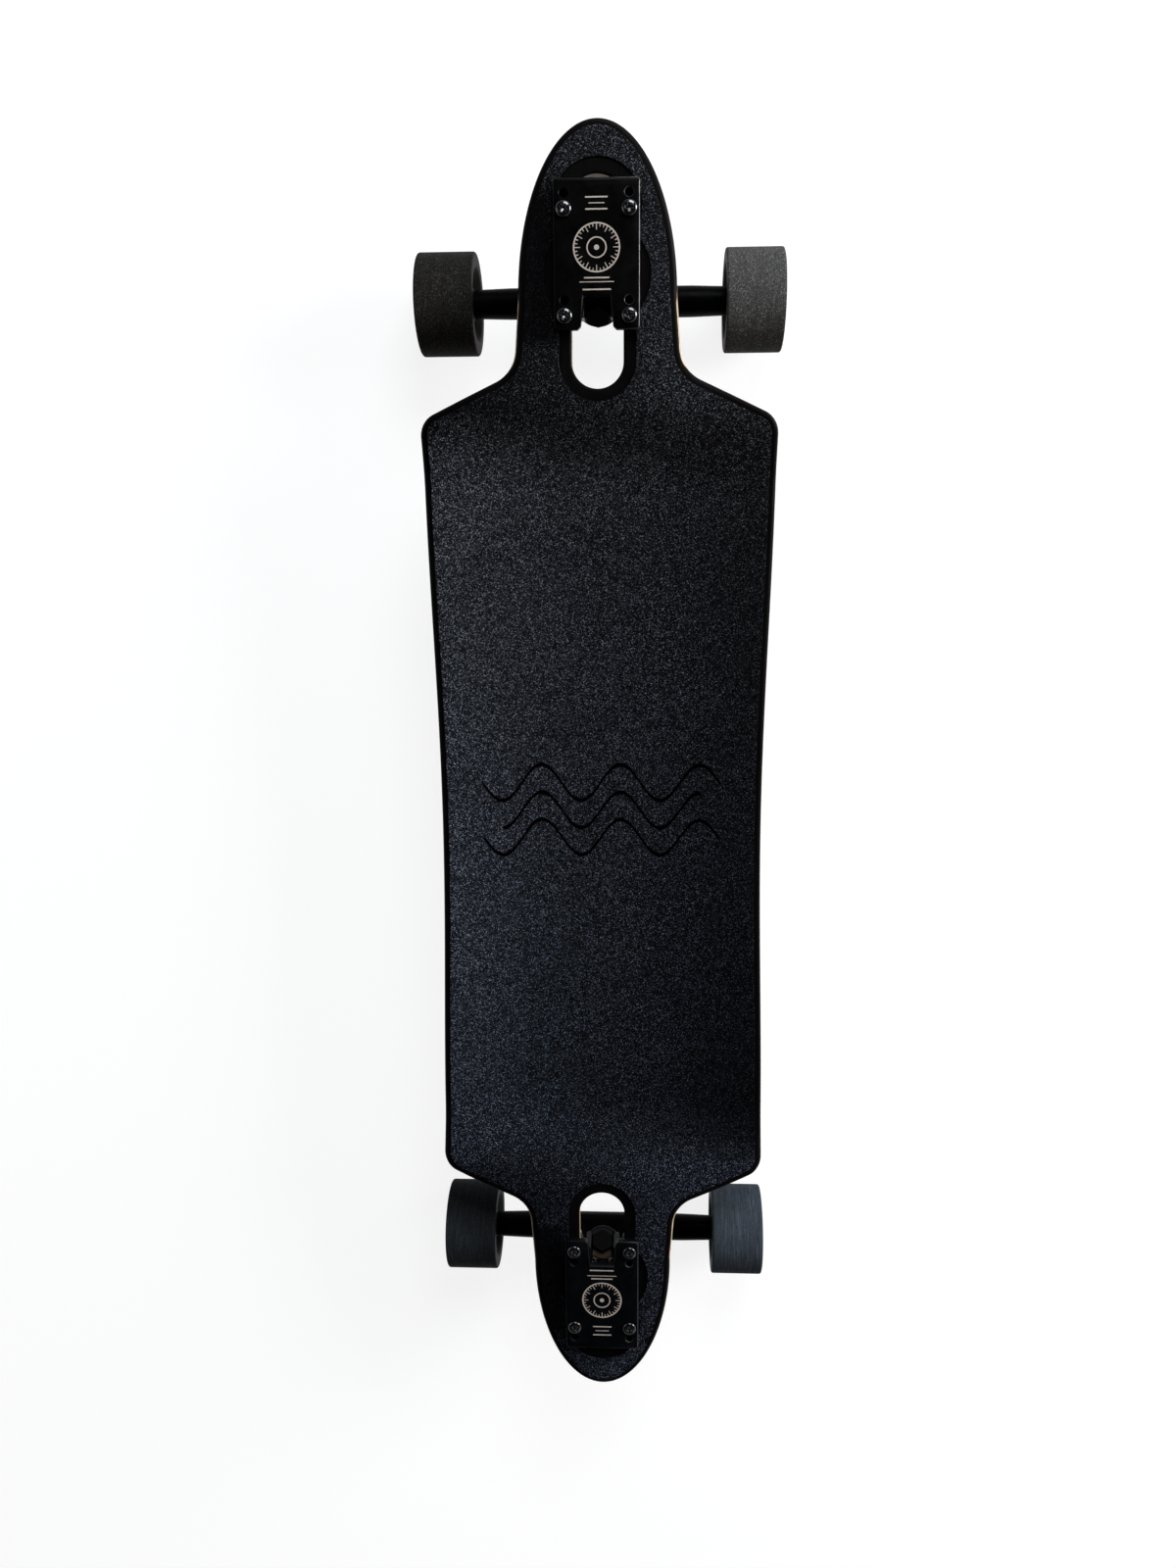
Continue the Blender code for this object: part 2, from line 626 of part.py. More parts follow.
def baseplate_mesh():
    """Make the baseplate: plate, slanted kingpin boss, pivot housing, keel and ribs."""
    cup_outer = PIVOT_NOSE_DIAMETER / 2 + RUN_GAP + CUP_WALL
    housing_bore = cup_outer + SEAT_GAP
    housing = housing_bore + HOUSING_WALL
    housing_depth = CUP_LENGTH + 2 * SEAT_GAP
    skin = PLATE_THICKNESS / 6
    reach = PLATE_LENGTH / 2
    flat = sheet([plate_outline()], -PLATE_THICKNESS, 0.0, PLATE_EDGE_CHAMFER, 0)

    boss = turned(
        [
            (0.0, HEAD_SEAT),
            (BOSS_DIAMETER / 2, HEAD_SEAT),
            (BOSS_DIAMETER / 2, BOSS_FACE + 2 * BOSS_FLANGE_HEIGHT),
            (BOSS_FLANGE_DIAMETER / 2, BOSS_FACE + BOSS_FLANGE_HEIGHT),
            (BOSS_FLANGE_DIAMETER / 2, BOSS_FACE),
            (0.0, BOSS_FACE),
        ],
        BEAM_STEPS,
    )
    pivot_tube = rod(housing, PIVOT_FROM_RING, PIVOT_FROM_RING + housing_depth + HOUSING_WALL, BEAM_STEPS)
    pivot_tube = trimmed(pivot_tube, TRUCK_TO_STEER @ ALONG_Y, -skin)

    boss_foot = TRUCK_TO_STEER @ Vector((0.0, BOSS_DIAMETER / 2, BOSS_FACE + BOSS_FLANGE_HEIGHT))
    tube_foot = TRUCK_TO_STEER @ Vector((0.0, PIVOT_FROM_RING, housing))
    underside = -PLATE_THICKNESS + skin
    keel = [
        (boss_foot.y - KEEL_DEPTH, underside),
        (boss_foot.y - KEEL_DEPTH / 2, boss_foot.z + skin),
        (boss_foot.y + skin, boss_foot.z + KEEL_DEPTH / 2),
        (tube_foot.y + KEEL_DEPTH / 2, tube_foot.z - skin),
        (tube_foot.y + KEEL_DEPTH, underside),
    ]
    seat_lip = TRUCK_TO_STEER @ Vector((0.0, -BOSS_DIAMETER / 3, HEAD_SEAT - skin))
    ribs = [
        (seat_lip.y - skin, underside),
        (seat_lip.y, seat_lip.z),
        (boss_foot.y - KEEL_DEPTH, boss_foot.z - skin),
        (boss_foot.y, -PLATE_THICKNESS - RIB_DEPTH),
        (tube_foot.y - KEEL_DEPTH / 2, -PLATE_THICKNESS - RIB_DEPTH / 3),
        (tube_foot.y + KEEL_DEPTH, -PLATE_THICKNESS - RIB_DEPTH),
        (tube_foot.y + 3 * KEEL_DEPTH, underside),
    ]
    joined = [(boss, TRUCK_TO_STEER), (pivot_tube, Matrix()), side_plate(keel, KEEL_THICKNESS, 0.0)]
    joined += [side_plate(ribs, RIB_THICKNESS, side * RIB_SPACING / 2) for side in (-1, 1)]

    drill = rod(BOLT_HOLE_DIAMETER / 2, -2 * PLATE_THICKNESS, PLATE_THICKNESS, HOLE_STEPS)
    cut = []
    for x, y in bolt_places():
        spare = y + SPARE_HOLE_STEP
        cut += [(drill, Matrix.Translation((x, y, 0.0))), (drill, Matrix.Translation((x, spare, 0.0)))]
    shank = rod(KINGPIN_DIAMETER / 2 + RUN_GAP, BOSS_FACE - reach, HEAD_TOP + reach, SHAFT_STEPS)
    bore = rod(housing_bore, PIVOT_FROM_RING - reach, PIVOT_FROM_RING + housing_depth, BEAM_STEPS)
    cut += [(shank, TRUCK_TO_STEER), (bore, TRUCK_TO_STEER @ ALONG_Y)]
    return combine(flat, joined, cut)


# Hanger


def wing_outline():
    """Trace the hanger's flat body across the kingpin: ring, pivot arm and two faired wings."""
    ring_radius = RING_DIAMETER / 2
    neck = PIVOT_ARM_DIAMETER / 2
    span = WING_SPAN / 2
    tip = BEAM_DIAMETER_MIDDLE / 2 * WING_TIP_SHARE
    back = BEAM_DIAMETER_MIDDLE / 2 - WING_EDGE
    shoulder = (WING_SHOULDER_SPAN / 2, WING_SHOULDER_FROM_BEAM - AXLE_SETBACK)
    right = [
        (0.0, PIVOT_ARM_BLEND),
        (neck - WING_EDGE, PIVOT_ARM_BLEND - WING_EDGE),
        (neck, ring_radius * cos(pi / 6)),
        (ring_radius * cos(pi / 6), ring_radius * sin(pi / 6)),
        (ring_radius, 0.0),
    ]
    for i in range(WING_FAIRING_STEPS + 1):
        share = i / WING_FAIRING_STEPS
        rise = (shoulder[1] + AXLE_SETBACK - tip) * (1.0 - share) ** 2
        right.append((shoulder[0] + (span - shoulder[0]) * share, tip - AXLE_SETBACK + rise))
    right += [(span, -AXLE_SETBACK - tip), (span / 2, -AXLE_SETBACK - back)]
    return right + [(-x, y) for x, y in reversed(right[1:])]


def beam_profile():
    """List the hanger's tapered beam from one end to the other as (radius, place)."""
    end = HANGER_WIDTH / 2
    collar = END_COLLAR_DIAMETER / 2
    half = [
        (collar - END_COLLAR_WIDTH / 4, end),
        (collar, end - END_COLLAR_WIDTH / 4),
        (collar, end - END_COLLAR_WIDTH),
        (BEAM_DIAMETER_END / 2, end - 2 * END_COLLAR_WIDTH),
        (BEAM_DIAMETER_NECK / 2, BEAM_NECK_FROM_MIDDLE),
    ]
    far = [(radius, -place) for radius, place in reversed(half)]
    return [(0.0, end), *half, (BEAM_DIAMETER_MIDDLE / 2, 0.0), *far, (0.0, -end)]


def hanger_mesh():
    """Make the hanger in the steering frame: beam, wings, ring with two seats, pivot nose."""
    rim = RING_WEB / 2 + RING_RIM
    nose_start = PIVOT_FROM_RING - RUN_GAP
    nose = PIVOT_NOSE_DIAMETER / 2
    tip = nose_start + PIVOT_NOSE_LENGTH
    pivot = turned(
        [
            (0.0, tip),
            (nose - PIVOT_NOSE_CHAMFER, tip),
            (nose, tip - PIVOT_NOSE_CHAMFER),
            (nose, nose_start),
            (PIVOT_SHOULDER_DIAMETER / 2, nose_start - RUN_GAP),
            (PIVOT_ARM_DIAMETER / 2, RING_DIAMETER / 2),
            (0.0, RING_DIAMETER / 2),
        ],
        BEAM_STEPS,
    )
    body = sheet([wing_outline()], -WING_THICKNESS / 2, WING_THICKNESS / 2, WING_EDGE, 0)
    joined = [
        (turned(beam_profile(), BEAM_STEPS), STEER_TO_AXLE @ ALONG_X),
        (rod(RING_DIAMETER / 2 - WING_EDGE / 2, -rim, rim, BEAM_STEPS + BEAM_STEPS // 2), Matrix()),
        (pivot, ALONG_Y),
    ]
    seat = BUSHING_DIAMETER / 2 + RUN_GAP
    away = BUSHING_END + BUSHING_HEIGHT
    cut = [
        (rod(seat, RING_WEB / 2, away, BUSHING_STEPS), Matrix()),
        (rod(seat, -away, -RING_WEB / 2, BUSHING_STEPS), Matrix()),
        (rod(RING_HOLE_DIAMETER / 2, -away, away, BUSHING_STEPS), Matrix()),
        (rod(AXLE_DIAMETER / 2 + SEAT_GAP, -HANGER_WIDTH, HANGER_WIDTH, SHAFT_STEPS), STEER_TO_AXLE @ ALONG_X),
    ]
    return combine(body, joined, cut)


# Small hardware


def bolt_mesh():
    """Turn a mounting bolt with a domed head, its seat at height 0."""
    head = BOLT_HEAD_DIAMETER / 2
    shank = BOLT_DIAMETER / 2
    length = PLATE_TOP + SEAT_GAP - DECK_BOTTOM + SEAT_GAP + LOCK_NUT_HEIGHT + BOLT_TAIL
    return turned(
        [
            (0.0, BOLT_HEAD_HEIGHT + BOLT_CROWN_DOME),
            (BOLT_CROWN_DIAMETER / 2, BOLT_HEAD_HEIGHT),
            (head, BOLT_HEAD_RIM),
            (head, 0.0),
            (shank, 0.0),
            (shank, -length),
            (0.0, -length),
        ],
        BOLT_STEPS,
    )


def nut_mesh(across_flats, height, collar, bore):
    """Make a lock nut from height 0 up: hexagon below, round collar above, open bore."""
    body = hexagon(across_flats, 0.0, height)
    joined = []
    if collar:
        joined.append((rod(across_flats * LOCK_NUT_COLLAR / 2, height / 2, height + collar, SHAFT_STEPS), Matrix()))
    hole = rod(bore / 2 + SEAT_GAP, -height, 3 * height + collar, BOLT_STEPS)
    return combine(body, joined, [(hole, Matrix())])


def kingpin_mesh():
    """Make the kingpin in the steering frame: hexagonal head up in the notch, shank down."""
    end = -NUT_END - KINGPIN_TAIL
    radius = KINGPIN_DIAMETER / 2
    shank = turned(
        [
            (0.0, HEAD_TOP - KINGPIN_HEAD_HEIGHT / 2),
            (radius, HEAD_TOP - KINGPIN_HEAD_HEIGHT / 2),
            (radius, end + THREAD_CHAMFER),
            (radius - THREAD_CHAMFER, end),
            (0.0, end),
        ],
        SHAFT_STEPS,
    )
    return combine(hexagon(KINGPIN_ACROSS_FLATS, HEAD_BOTTOM, HEAD_TOP), joined=[(shank, Matrix())])


def bushing_mesh(far_diameter):
    """Make a bushing from the ring outward: a barrel, or a cone where its far end is smaller."""
    inner = KINGPIN_DIAMETER / 2 + SEAT_GAP
    near = BUSHING_DIAMETER / 2
    far = far_diameter / 2
    return turned(
        [
            (far - BUSHING_EDGE, BUSHING_END),
            (far, BUSHING_END - BUSHING_EDGE),
            (near, BUSHING_START + BUSHING_EDGE + BUSHING_HEIGHT / 4),
            (near, BUSHING_START + BUSHING_EDGE),
            (near - BUSHING_EDGE, BUSHING_START),
            (inner, BUSHING_START),
            (inner, BUSHING_END),
        ],
        BUSHING_STEPS,
        closed=True,
    )


def cup_mesh():
    """Make the pivot cup: a thick urethane cup closed at its far end."""
    inner = PIVOT_NOSE_DIAMETER / 2 + RUN_GAP
    outer = inner + CUP_WALL
    start = PIVOT_FROM_RING + SEAT_GAP
    end = start + CUP_LENGTH
    return turned(
        [
            (0.0, end),
            (outer, end),
            (outer, start),
            (inner, start),
            (inner, end - CUP_FLOOR),
            (0.0, end - CUP_FLOOR),
        ],
        BEAM_STEPS,
    )


def axle_mesh():
    """Turn the axle with its spacers and speed washers as one piece, along Z."""
    radius = AXLE_DIAMETER / 2
    washer = SPEED_WASHER_DIAMETER / 2
    spacer = SPACER_DIAMETER / 2
    half = [
        (0.0, AXLE_END),
        (radius - THREAD_CHAMFER, AXLE_END),
        (radius, AXLE_END - THREAD_CHAMFER),
        (radius, WASHER_OUT + SPEED_WASHER_THICKNESS),
        (washer, WASHER_OUT + SPEED_WASHER_THICKNESS),
        (washer, WASHER_OUT),
        (radius, WASHER_OUT),
        (radius, SPACER_IN + BEARING_SPACER),
        (spacer, SPACER_IN + BEARING_SPACER),
        (spacer, SPACER_IN),
        (radius, SPACER_IN),
        (radius, WASHER_IN + SPEED_WASHER_THICKNESS),
        (washer, WASHER_IN + SPEED_WASHER_THICKNESS),
        (washer, WASHER_IN),
        (radius, WASHER_IN),
    ]
    return turned(half + [(r, -z) for r, z in reversed(half)], SHAFT_STEPS)


# Wheels


def tyre_mesh():
    """Turn the urethane tyre about Z: flat tread, round lips, and a dished face each side."""
    radius = WHEEL_DIAMETER / 2
    half = WHEEL_WIDTH / 2
    lip = WHEEL_LIP
    face = radius - lip - WHEEL_FACE_WIDTH
    bore = CORE_DIAMETER / 2 + SEAT_GAP
    slope = sqrt(0.5)
    core_half = core_half_width() - CORE_OVERHANG
    outer = [
        (bore, core_half - CORE_OFFSET),
        (face, half),
        (radius - lip, half),
        (radius - lip + lip * slope, half - lip + lip * slope),
        (radius, half - lip),
    ]
    inner = [
        (radius, lip - half),
        (radius - lip + lip * slope, lip - half - lip * slope),
        (radius - lip, -half),
        (face, -half),
        (bore, -core_half - CORE_OFFSET),
    ]
    made = turned(outer + inner, TREAD_STEPS, closed=True)
    made.transform(Matrix.Rotation(pi / TREAD_STEPS, 4, "Z"))
    return made


def core_half_width():
    """Half the core's width: both bearings and the gap between them, with a small overhang."""
    return (BEARING_SPACER + 2 * RUN_GAP) / 2 + BEARING_WIDTH + CORE_OVERHANG


def core_mesh():
    """Make the wheel core in the wheel's frame: two bearing seats, a shoulder, pocketed face."""
    outer = CORE_DIAMETER / 2
    seat = BEARING_OUTER_DIAMETER / 2 + SEAT_GAP
    shoulder = CORE_SHOULDER_DIAMETER / 2
    step = BEARING_SPACER / 2
    half = core_half_width()
    body = turned(
        [
            (outer, half - CORE_OFFSET),
            (outer, -half - CORE_OFFSET),
            (seat, -half - CORE_OFFSET),
            (seat, -step - CORE_OFFSET),
            (shoulder, -step - CORE_OFFSET),
            (shoulder, step - CORE_OFFSET),
            (seat, step - CORE_OFFSET),
            (seat, half - CORE_OFFSET),
        ],
        CORE_STEPS,
        closed=True,
    )
    rim = (outer - seat) / 4
    floor = half - CORE_OFFSET - CORE_POCKET_DEPTH
    pocket = block((seat + rim, -CORE_POCKET_WIDTH / 2, floor), (outer - rim, CORE_POCKET_WIDTH / 2, 2 * half))
    cut = [(pocket, Matrix.Rotation(2 * pi * i / CORE_POCKETS, 4, "Z")) for i in range(CORE_POCKETS)]
    return combine(body, cut=cut)


def bearing_mesh():
    """Turn a ball bearing from height 0 up."""
    outer = BEARING_OUTER_DIAMETER / 2
    inner = AXLE_DIAMETER / 2 + RUN_GAP
    return ring(inner, outer, 0.0, BEARING_WIDTH, BEARING_STEPS)


# Assembly


def build_materials():
    """Make one material for each finish."""
    return {
        "stain": material("black_stained_wood", (0.030, 0.029, 0.031), 0.55),
        "grit": material("black_grit", (0.016, 0.017, 0.020), 0.95),
        "black": material("satin_black_cast", (0.020, 0.018, 0.018), 0.38, 0.6),
        "screw": material("black_oxide", (0.018, 0.018, 0.020), 0.28, 0.9),
        "steel": material("bright_steel", (0.62, 0.62, 0.63), 0.28, 1.0),
        "zinc": material("zinc_plate", (0.55, 0.56, 0.58), 0.38, 1.0),
        "bushing": material("bushing_urethane", (0.035, 0.033, 0.034), 0.42),
        "cup": material("cup_urethane", (0.030, 0.030, 0.030), 0.50),
        "tyre": material("charcoal_urethane", (0.075, 0.076, 0.080), 0.62),
        "core": material("core_plastic", (0.045, 0.045, 0.048), 0.45),
    }


def build_truck(end, meshes, finish):
    """Place one truck and its wheels: end 1 is the nose, end -1 the tail."""
    prefix = "front" if end > 0 else "rear"
    turn = Matrix() if end > 0 else Matrix.Rotation(pi, 4, "Z")
    place = Matrix.Translation((0.0, end * BOLT_CENTRE_FROM_MIDDLE, PLATE_TOP)) @ turn
    truck = frame(f"{prefix}_truck_frame", matrix=place)
    tilt = frame(f"{prefix}_kingpin_frame", truck, TRUCK_TO_STEER)
    steer = frame(f"{prefix}_steer_axis", truck, TRUCK_TO_STEER)

    piece(f"{prefix}_baseplate", meshes["baseplate"], finish["black"], truck)
    under = DECK_BOTTOM - SEAT_GAP - LOCK_NUT_HEIGHT - PLATE_TOP
    for number, (x, y) in enumerate(bolt_places(), start=1):
        seat = Matrix.Translation((x, y, SEAT_GAP)) @ Matrix.Rotation(number * 0.7, 4, "Z")
        piece(f"{prefix}_bolt_{number}", meshes["bolt"], finish["screw"], truck, seat)
        below = Matrix.Translation((x, y, under)) @ Matrix.Rotation(number * 0.4, 4, "Z")
        piece(f"{prefix}_lock_nut_{number}", meshes["lock_nut"], finish["zinc"], truck, below)

    flip = Matrix.Rotation(pi, 4, "X")
    piece(f"{prefix}_pivot_cup", meshes["cup"], finish["cup"], tilt, ALONG_Y)
    piece(f"{prefix}_kingpin", meshes["kingpin"], finish["screw"], tilt)
    piece(f"{prefix}_boardside_bushing", meshes["barrel"], finish["bushing"], tilt)
    piece(f"{prefix}_roadside_bushing", meshes["cone"], finish["bushing"], tilt, flip)
    piece(f"{prefix}_boardside_washer", meshes["washer"], finish["zinc"], tilt)
    piece(f"{prefix}_roadside_washer", meshes["washer"], finish["zinc"], tilt, flip)
    nut_place = Matrix.Translation((0.0, 0.0, -NUT_START)) @ flip
    piece(f"{prefix}_kingpin_nut", meshes["kingpin_nut"], finish["zinc"], tilt, nut_place)

    piece(f"{prefix}_hanger", meshes["hanger"], finish["black"], steer)
    axle = frame(f"{prefix}_axle_line", steer, STEER_TO_AXLE)
    piece(f"{prefix}_axle", meshes["axle"], finish["steel"], axle, ALONG_X)
    for side in (-1, 1):
        hand = "left" if side * end < 0 else "right"
        outward = Matrix.Rotation(side * pi / 2, 4, "Y")
        nut_seat = Matrix.Translation((side * AXLE_NUT_START, 0.0, 0.0)) @ outward
        piece(f"{prefix}_{hand}_axle_nut", meshes["axle_nut"], finish["zinc"], axle, nut_seat)
        hub = Matrix.Translation((side * WHEEL_MIDDLE, 0.0, 0.0)) @ level(outward)
        spin = frame(f"{prefix}_{hand}_wheel_axis", axle, hub)
        piece(f"{prefix}_{hand}_tyre", meshes["tyre"], finish["tyre"], spin)
        piece(f"{prefix}_{hand}_core", meshes["core"], finish["core"], spin)
        inner = Matrix.Translation((0.0, 0.0, BEARING_IN - WHEEL_MIDDLE))
        piece(f"{prefix}_{hand}_inner_bearing", meshes["bearing"], finish["steel"], spin, inner)
        outer = Matrix.Translation((0.0, 0.0, BEARING_OUT - WHEEL_MIDDLE))
        piece(f"{prefix}_{hand}_outer_bearing", meshes["bearing"], finish["steel"], spin, outer)


def level(outward):
    """Undo the kingpin's tilt in a wheel's frame, so that one tread facet lies on the ground."""
    return Matrix.Rotation(-STEER_ANGLE, 4, "X") @ outward


def main():
    """Build the whole longboard."""
    global PARTS, SHAPING
    clear_scene()
    PARTS = new_collection("longboard")
    SHAPING = new_collection("shaping")
    finish = build_materials()
    inner = KINGPIN_DIAMETER / 2 + SEAT_GAP
    meshes = {
        "baseplate": baseplate_mesh(),
        "hanger": hanger_mesh(),
        "bolt": bolt_mesh(),
        "lock_nut": nut_mesh(LOCK_NUT_ACROSS_FLATS, LOCK_NUT_HEIGHT, 0.0, BOLT_DIAMETER),
        "kingpin": kingpin_mesh(),
        "kingpin_nut": nut_mesh(KINGPIN_ACROSS_FLATS, KINGPIN_NUT_HEIGHT, KINGPIN_NUT_COLLAR, KINGPIN_DIAMETER),
        "washer": ring(inner, WASHER_DIAMETER / 2, WASHER_START, WASHER_END, BUSHING_STEPS),
        "barrel": bushing_mesh(BUSHING_DIAMETER),
        "cone": bushing_mesh(BUSHING_CONE_DIAMETER),
        "cup": cup_mesh(),
        "axle": axle_mesh(),
        "axle_nut": nut_mesh(AXLE_NUT_ACROSS_FLATS, AXLE_NUT_HEIGHT, AXLE_NUT_COLLAR, AXLE_DIAMETER),
        "tyre": tyre_mesh(),
        "core": core_mesh(),
        "bearing": bearing_mesh(),
    }
    build_deck(finish["stain"])
    build_grip(finish["grit"])
    build_truck(1, meshes, finish)
    build_truck(-1, meshes, finish)


main()
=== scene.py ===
"""Drop-through longboard on reverse-kingpin trucks, dressed for its portrait from above.

Every surface is worked out with numpy, in metres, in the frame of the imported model: the board lies
along Y with its nose at +Y, X is to the right, Z is up and the wheels stand on height 0. Each point
also carries its place in its piece's own frame, in the attribute "place", which the finishes read.
"""

import logging
from collections.abc import Sequence
from dataclasses import dataclass
from enum import Enum
from functools import partialmethod
from math import acos, atan2, cos, pi, radians, sin, tan

import bmesh
import bpy
import numpy as np
from mathutils import Matrix, Vector


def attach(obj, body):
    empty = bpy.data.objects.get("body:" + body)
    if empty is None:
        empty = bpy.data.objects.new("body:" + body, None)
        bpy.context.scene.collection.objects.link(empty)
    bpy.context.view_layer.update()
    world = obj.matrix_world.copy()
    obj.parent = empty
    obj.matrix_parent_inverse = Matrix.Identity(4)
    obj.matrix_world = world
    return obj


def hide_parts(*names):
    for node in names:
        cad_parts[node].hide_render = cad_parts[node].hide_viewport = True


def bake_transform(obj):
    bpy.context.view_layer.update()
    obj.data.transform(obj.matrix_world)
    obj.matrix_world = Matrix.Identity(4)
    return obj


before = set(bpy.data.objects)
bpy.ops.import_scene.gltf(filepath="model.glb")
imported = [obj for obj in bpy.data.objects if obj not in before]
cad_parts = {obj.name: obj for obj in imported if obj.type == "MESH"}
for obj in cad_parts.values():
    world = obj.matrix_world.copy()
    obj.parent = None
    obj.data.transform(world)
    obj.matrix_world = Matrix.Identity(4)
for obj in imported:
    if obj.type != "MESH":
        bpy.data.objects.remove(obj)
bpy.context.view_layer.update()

Array = np.ndarray
Colour = tuple[float, float, float]
Corners = Sequence[Sequence[float]]
Stops = tuple[tuple[float, float], ...]

HEX_STEPS = 96
WELD = 2e-6
CREASE = radians(32.0)
CAST_CREASE = radians(40.0)

log = logging.getLogger("longboard")


class End(Enum):
    """Which end of the board a truck is at, as its sign along Y."""

    FRONT = 1
    REAR = -1


class Hand(Enum):
    """Which side of the board a wheel is on, as its sign along X."""

    LEFT = -1
    RIGHT = 1


class Slot(Enum):
    """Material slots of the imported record."""

    DECK = "deck"
    GRIP = "grip"
    CAST = "cast"
    SCREW = "screw"
    STEEL = "steel"
    ZINC = "zinc"
    BUSHING = "bushing"
    CUP = "cup"
    TYRE = "tyre"
    CORE = "core"


# Places and surfaces


def shifted(x: float = 0.0, y: float = 0.0, z: float = 0.0) -> Array:
    """Matrix of a move.

    Args:
        x: how far to the right.
        y: how far towards the nose.
        z: how far up.

    Returns:
        The 4 x 4 matrix.
    """
    made = np.eye(4)
    made[:3, 3] = (x, y, z)
    return made


def turned(axis: int, angle: float) -> Array:
    """Matrix of a right-handed turn.

    Args:
        axis: 0, 1 or 2 for X, Y or Z.
        angle: the turn in radians.

    Returns:
        The 4 x 4 matrix.
    """
    made = np.eye(4)
    first, second = (axis + 1) % 3, (axis + 2) % 3
    made[first, first] = made[second, second] = cos(angle)
    made[first, second], made[second, first] = -sin(angle), sin(angle)
    return made


def unit(vector: Array) -> Array:
    """The vector at length 1."""
    return vector / np.linalg.norm(vector)


def ease(value: Array) -> Array:
    """Smooth step 3 t^2 - 2 t^3 of t held between 0 and 1."""
    held = np.clip(value, 0.0, 1.0)
    return held * held * (3.0 - 2.0 * held)


def whole_turn(steps: int) -> Array:
    """So many even angles from 0 round to just before 2 pi."""
    return np.arange(steps) * 2 * pi / steps


def arc(centre: Sequence[float], radius: float, start: float, end: float, steps: int) -> Array:
    """Points centre + radius (cos a, sin a) at steps + 1 even angles a from start to end."""
    angle = np.linspace(start, end, steps + 1)
    return np.asarray(centre, float) + radius * np.stack([np.cos(angle), np.sin(angle)], axis=1)


def fillet(before: Array, corner: Array, after: Array, radius: float, steps: int) -> Array:
    """Arc that touches both straight runs at a corner.

    Args:
        before: a point of the run that comes in.
        corner: where the runs would meet.
        after: a point of the run that goes out.
        radius: the round's radius.
        steps: how many turns the arc has.

    Returns:
        (steps + 1, 2) points, or the corner alone where the runs are in line. The centre lies
        radius / sin(half angle) along the bisector.
    """
    here = np.asarray(corner, float)
    back, ahead = unit(np.asarray(before) - here), unit(np.asarray(after) - here)
    half = acos(float(np.clip(back @ ahead, -1.0, 1.0))) / 2
    if half > pi / 2 - 1e-4:
        return here[None]
    centre = here + unit(back + ahead) * radius / sin(half)
    start = here + back * radius / tan(half) - centre
    end = here + ahead * radius / tan(half) - centre
    first = atan2(start[1], start[0])
    turn = (atan2(end[1], end[0]) - first + pi) % (2 * pi) - pi
    return arc(centre, radius, first, first + turn, steps)


def rounded(corners: Corners, turns: int = 5, closed: bool = False) -> Array:
    """Profile through corners, each with its own round.

    Args:
        corners: rows of (radius from the axis, height, round), the round 0 for a sharp corner.
        turns: steps in each round.
        closed: whether the last corner runs on to the first.

    Returns:
        (n, 2) points of the profile, its first point repeated at the end where it is closed.
    """
    place = np.array([row[:2] for row in corners], float)
    count = len(corners)
    runs = []
    for index, row in enumerate(corners):
        if row[2] > 0.0 and (closed or 0 < index < count - 1):
            runs.append(fillet(place[index - 1], place[index], place[(index + 1) % count], row[2], turns))
        else:
            runs.append(place[index : index + 1])
    made = np.concatenate(runs)
    return np.concatenate([made, made[:1]]) if closed else made


def mirrored(half: Corners, shared: int = 0) -> list[Sequence[float]]:
    """Rows of (radius, height, round), then their mirror images backwards, less the shared ones."""
    back = reversed(half[: len(half) - shared])
    return [*half, *[(radius, -height, turn) for radius, height, turn in back]]


@dataclass
class Shell:
    """Points, four-cornered faces, and each point's place in its piece's own frame."""

    points: Array
    faces: Array
    local: Array

    def moved(self, place: Array) -> "Shell":
        """The shell moved by a matrix, its own frame's places kept."""
        return Shell(self.points @ place[:3, :3].T + place[:3, 3], self.faces, self.local)

    def rooted(self) -> "Shell":
        """The shell with its places taken from where its points are now."""
        return Shell(self.points, self.faces, self.points.copy())

    def joined(self, *others: "Shell") -> "Shell":
        """Put shells together.

        Args:
            *others: the shells to add.

        Returns:
            One shell with all points and faces.
        """
        shells = (self, *others)
        starts = np.cumsum([0] + [len(shell.points) for shell in shells[:-1]])
        return Shell(
            np.concatenate([shell.points for shell in shells]),
            np.concatenate([shell.faces + start for shell, start in zip(shells, starts)]),
            np.concatenate([shell.local for shell in shells]),
        )


def grid_faces(rows: int, columns: int, around: bool = False) -> Array:
    """Faces of a grid of points.

    Args:
        rows: how many rows of points.
        columns: how many points in a row.
        around: whether the last column joins the first.

    Returns:
        (n, 4) corners: point (i, j) has number i * columns + j.
    """
    number = np.arange(rows * columns).reshape(rows, columns)
    if around:
        number = np.concatenate([number, number[:, :1]], axis=1)
    corners = (number[:-1, :-1], number[1:, :-1], number[1:, 1:], number[:-1, 1:])
    return np.stack(corners, axis=-1).reshape(-1, 4)


def grid_shell(grid: Array, around: bool = False) -> Shell:
    """Surface through a (rows, columns, 3) grid, its last column joined to the first if around."""
    points = grid.reshape(-1, 3)
    return Shell(points, grid_faces(grid.shape[0], grid.shape[1], around), points.copy())


def spun(radius: Array, height: Array) -> Shell:
    """Surface about Z: point (i, j) is (r_ij cos a_j, r_ij sin a_j, h_i) at even angles a_j.

    Args:
        radius: (rows, steps) radii.
        height: each row's height.

    Returns:
        The shell. A row of radius 0 closes to a pole when doubles are merged.
    """
    angle = whole_turn(radius.shape[1])
    grid = np.stack([radius * np.cos(angle), radius * np.sin(angle), height[:, None] + 0 * angle], axis=-1)
    return grid_shell(grid, around=True)


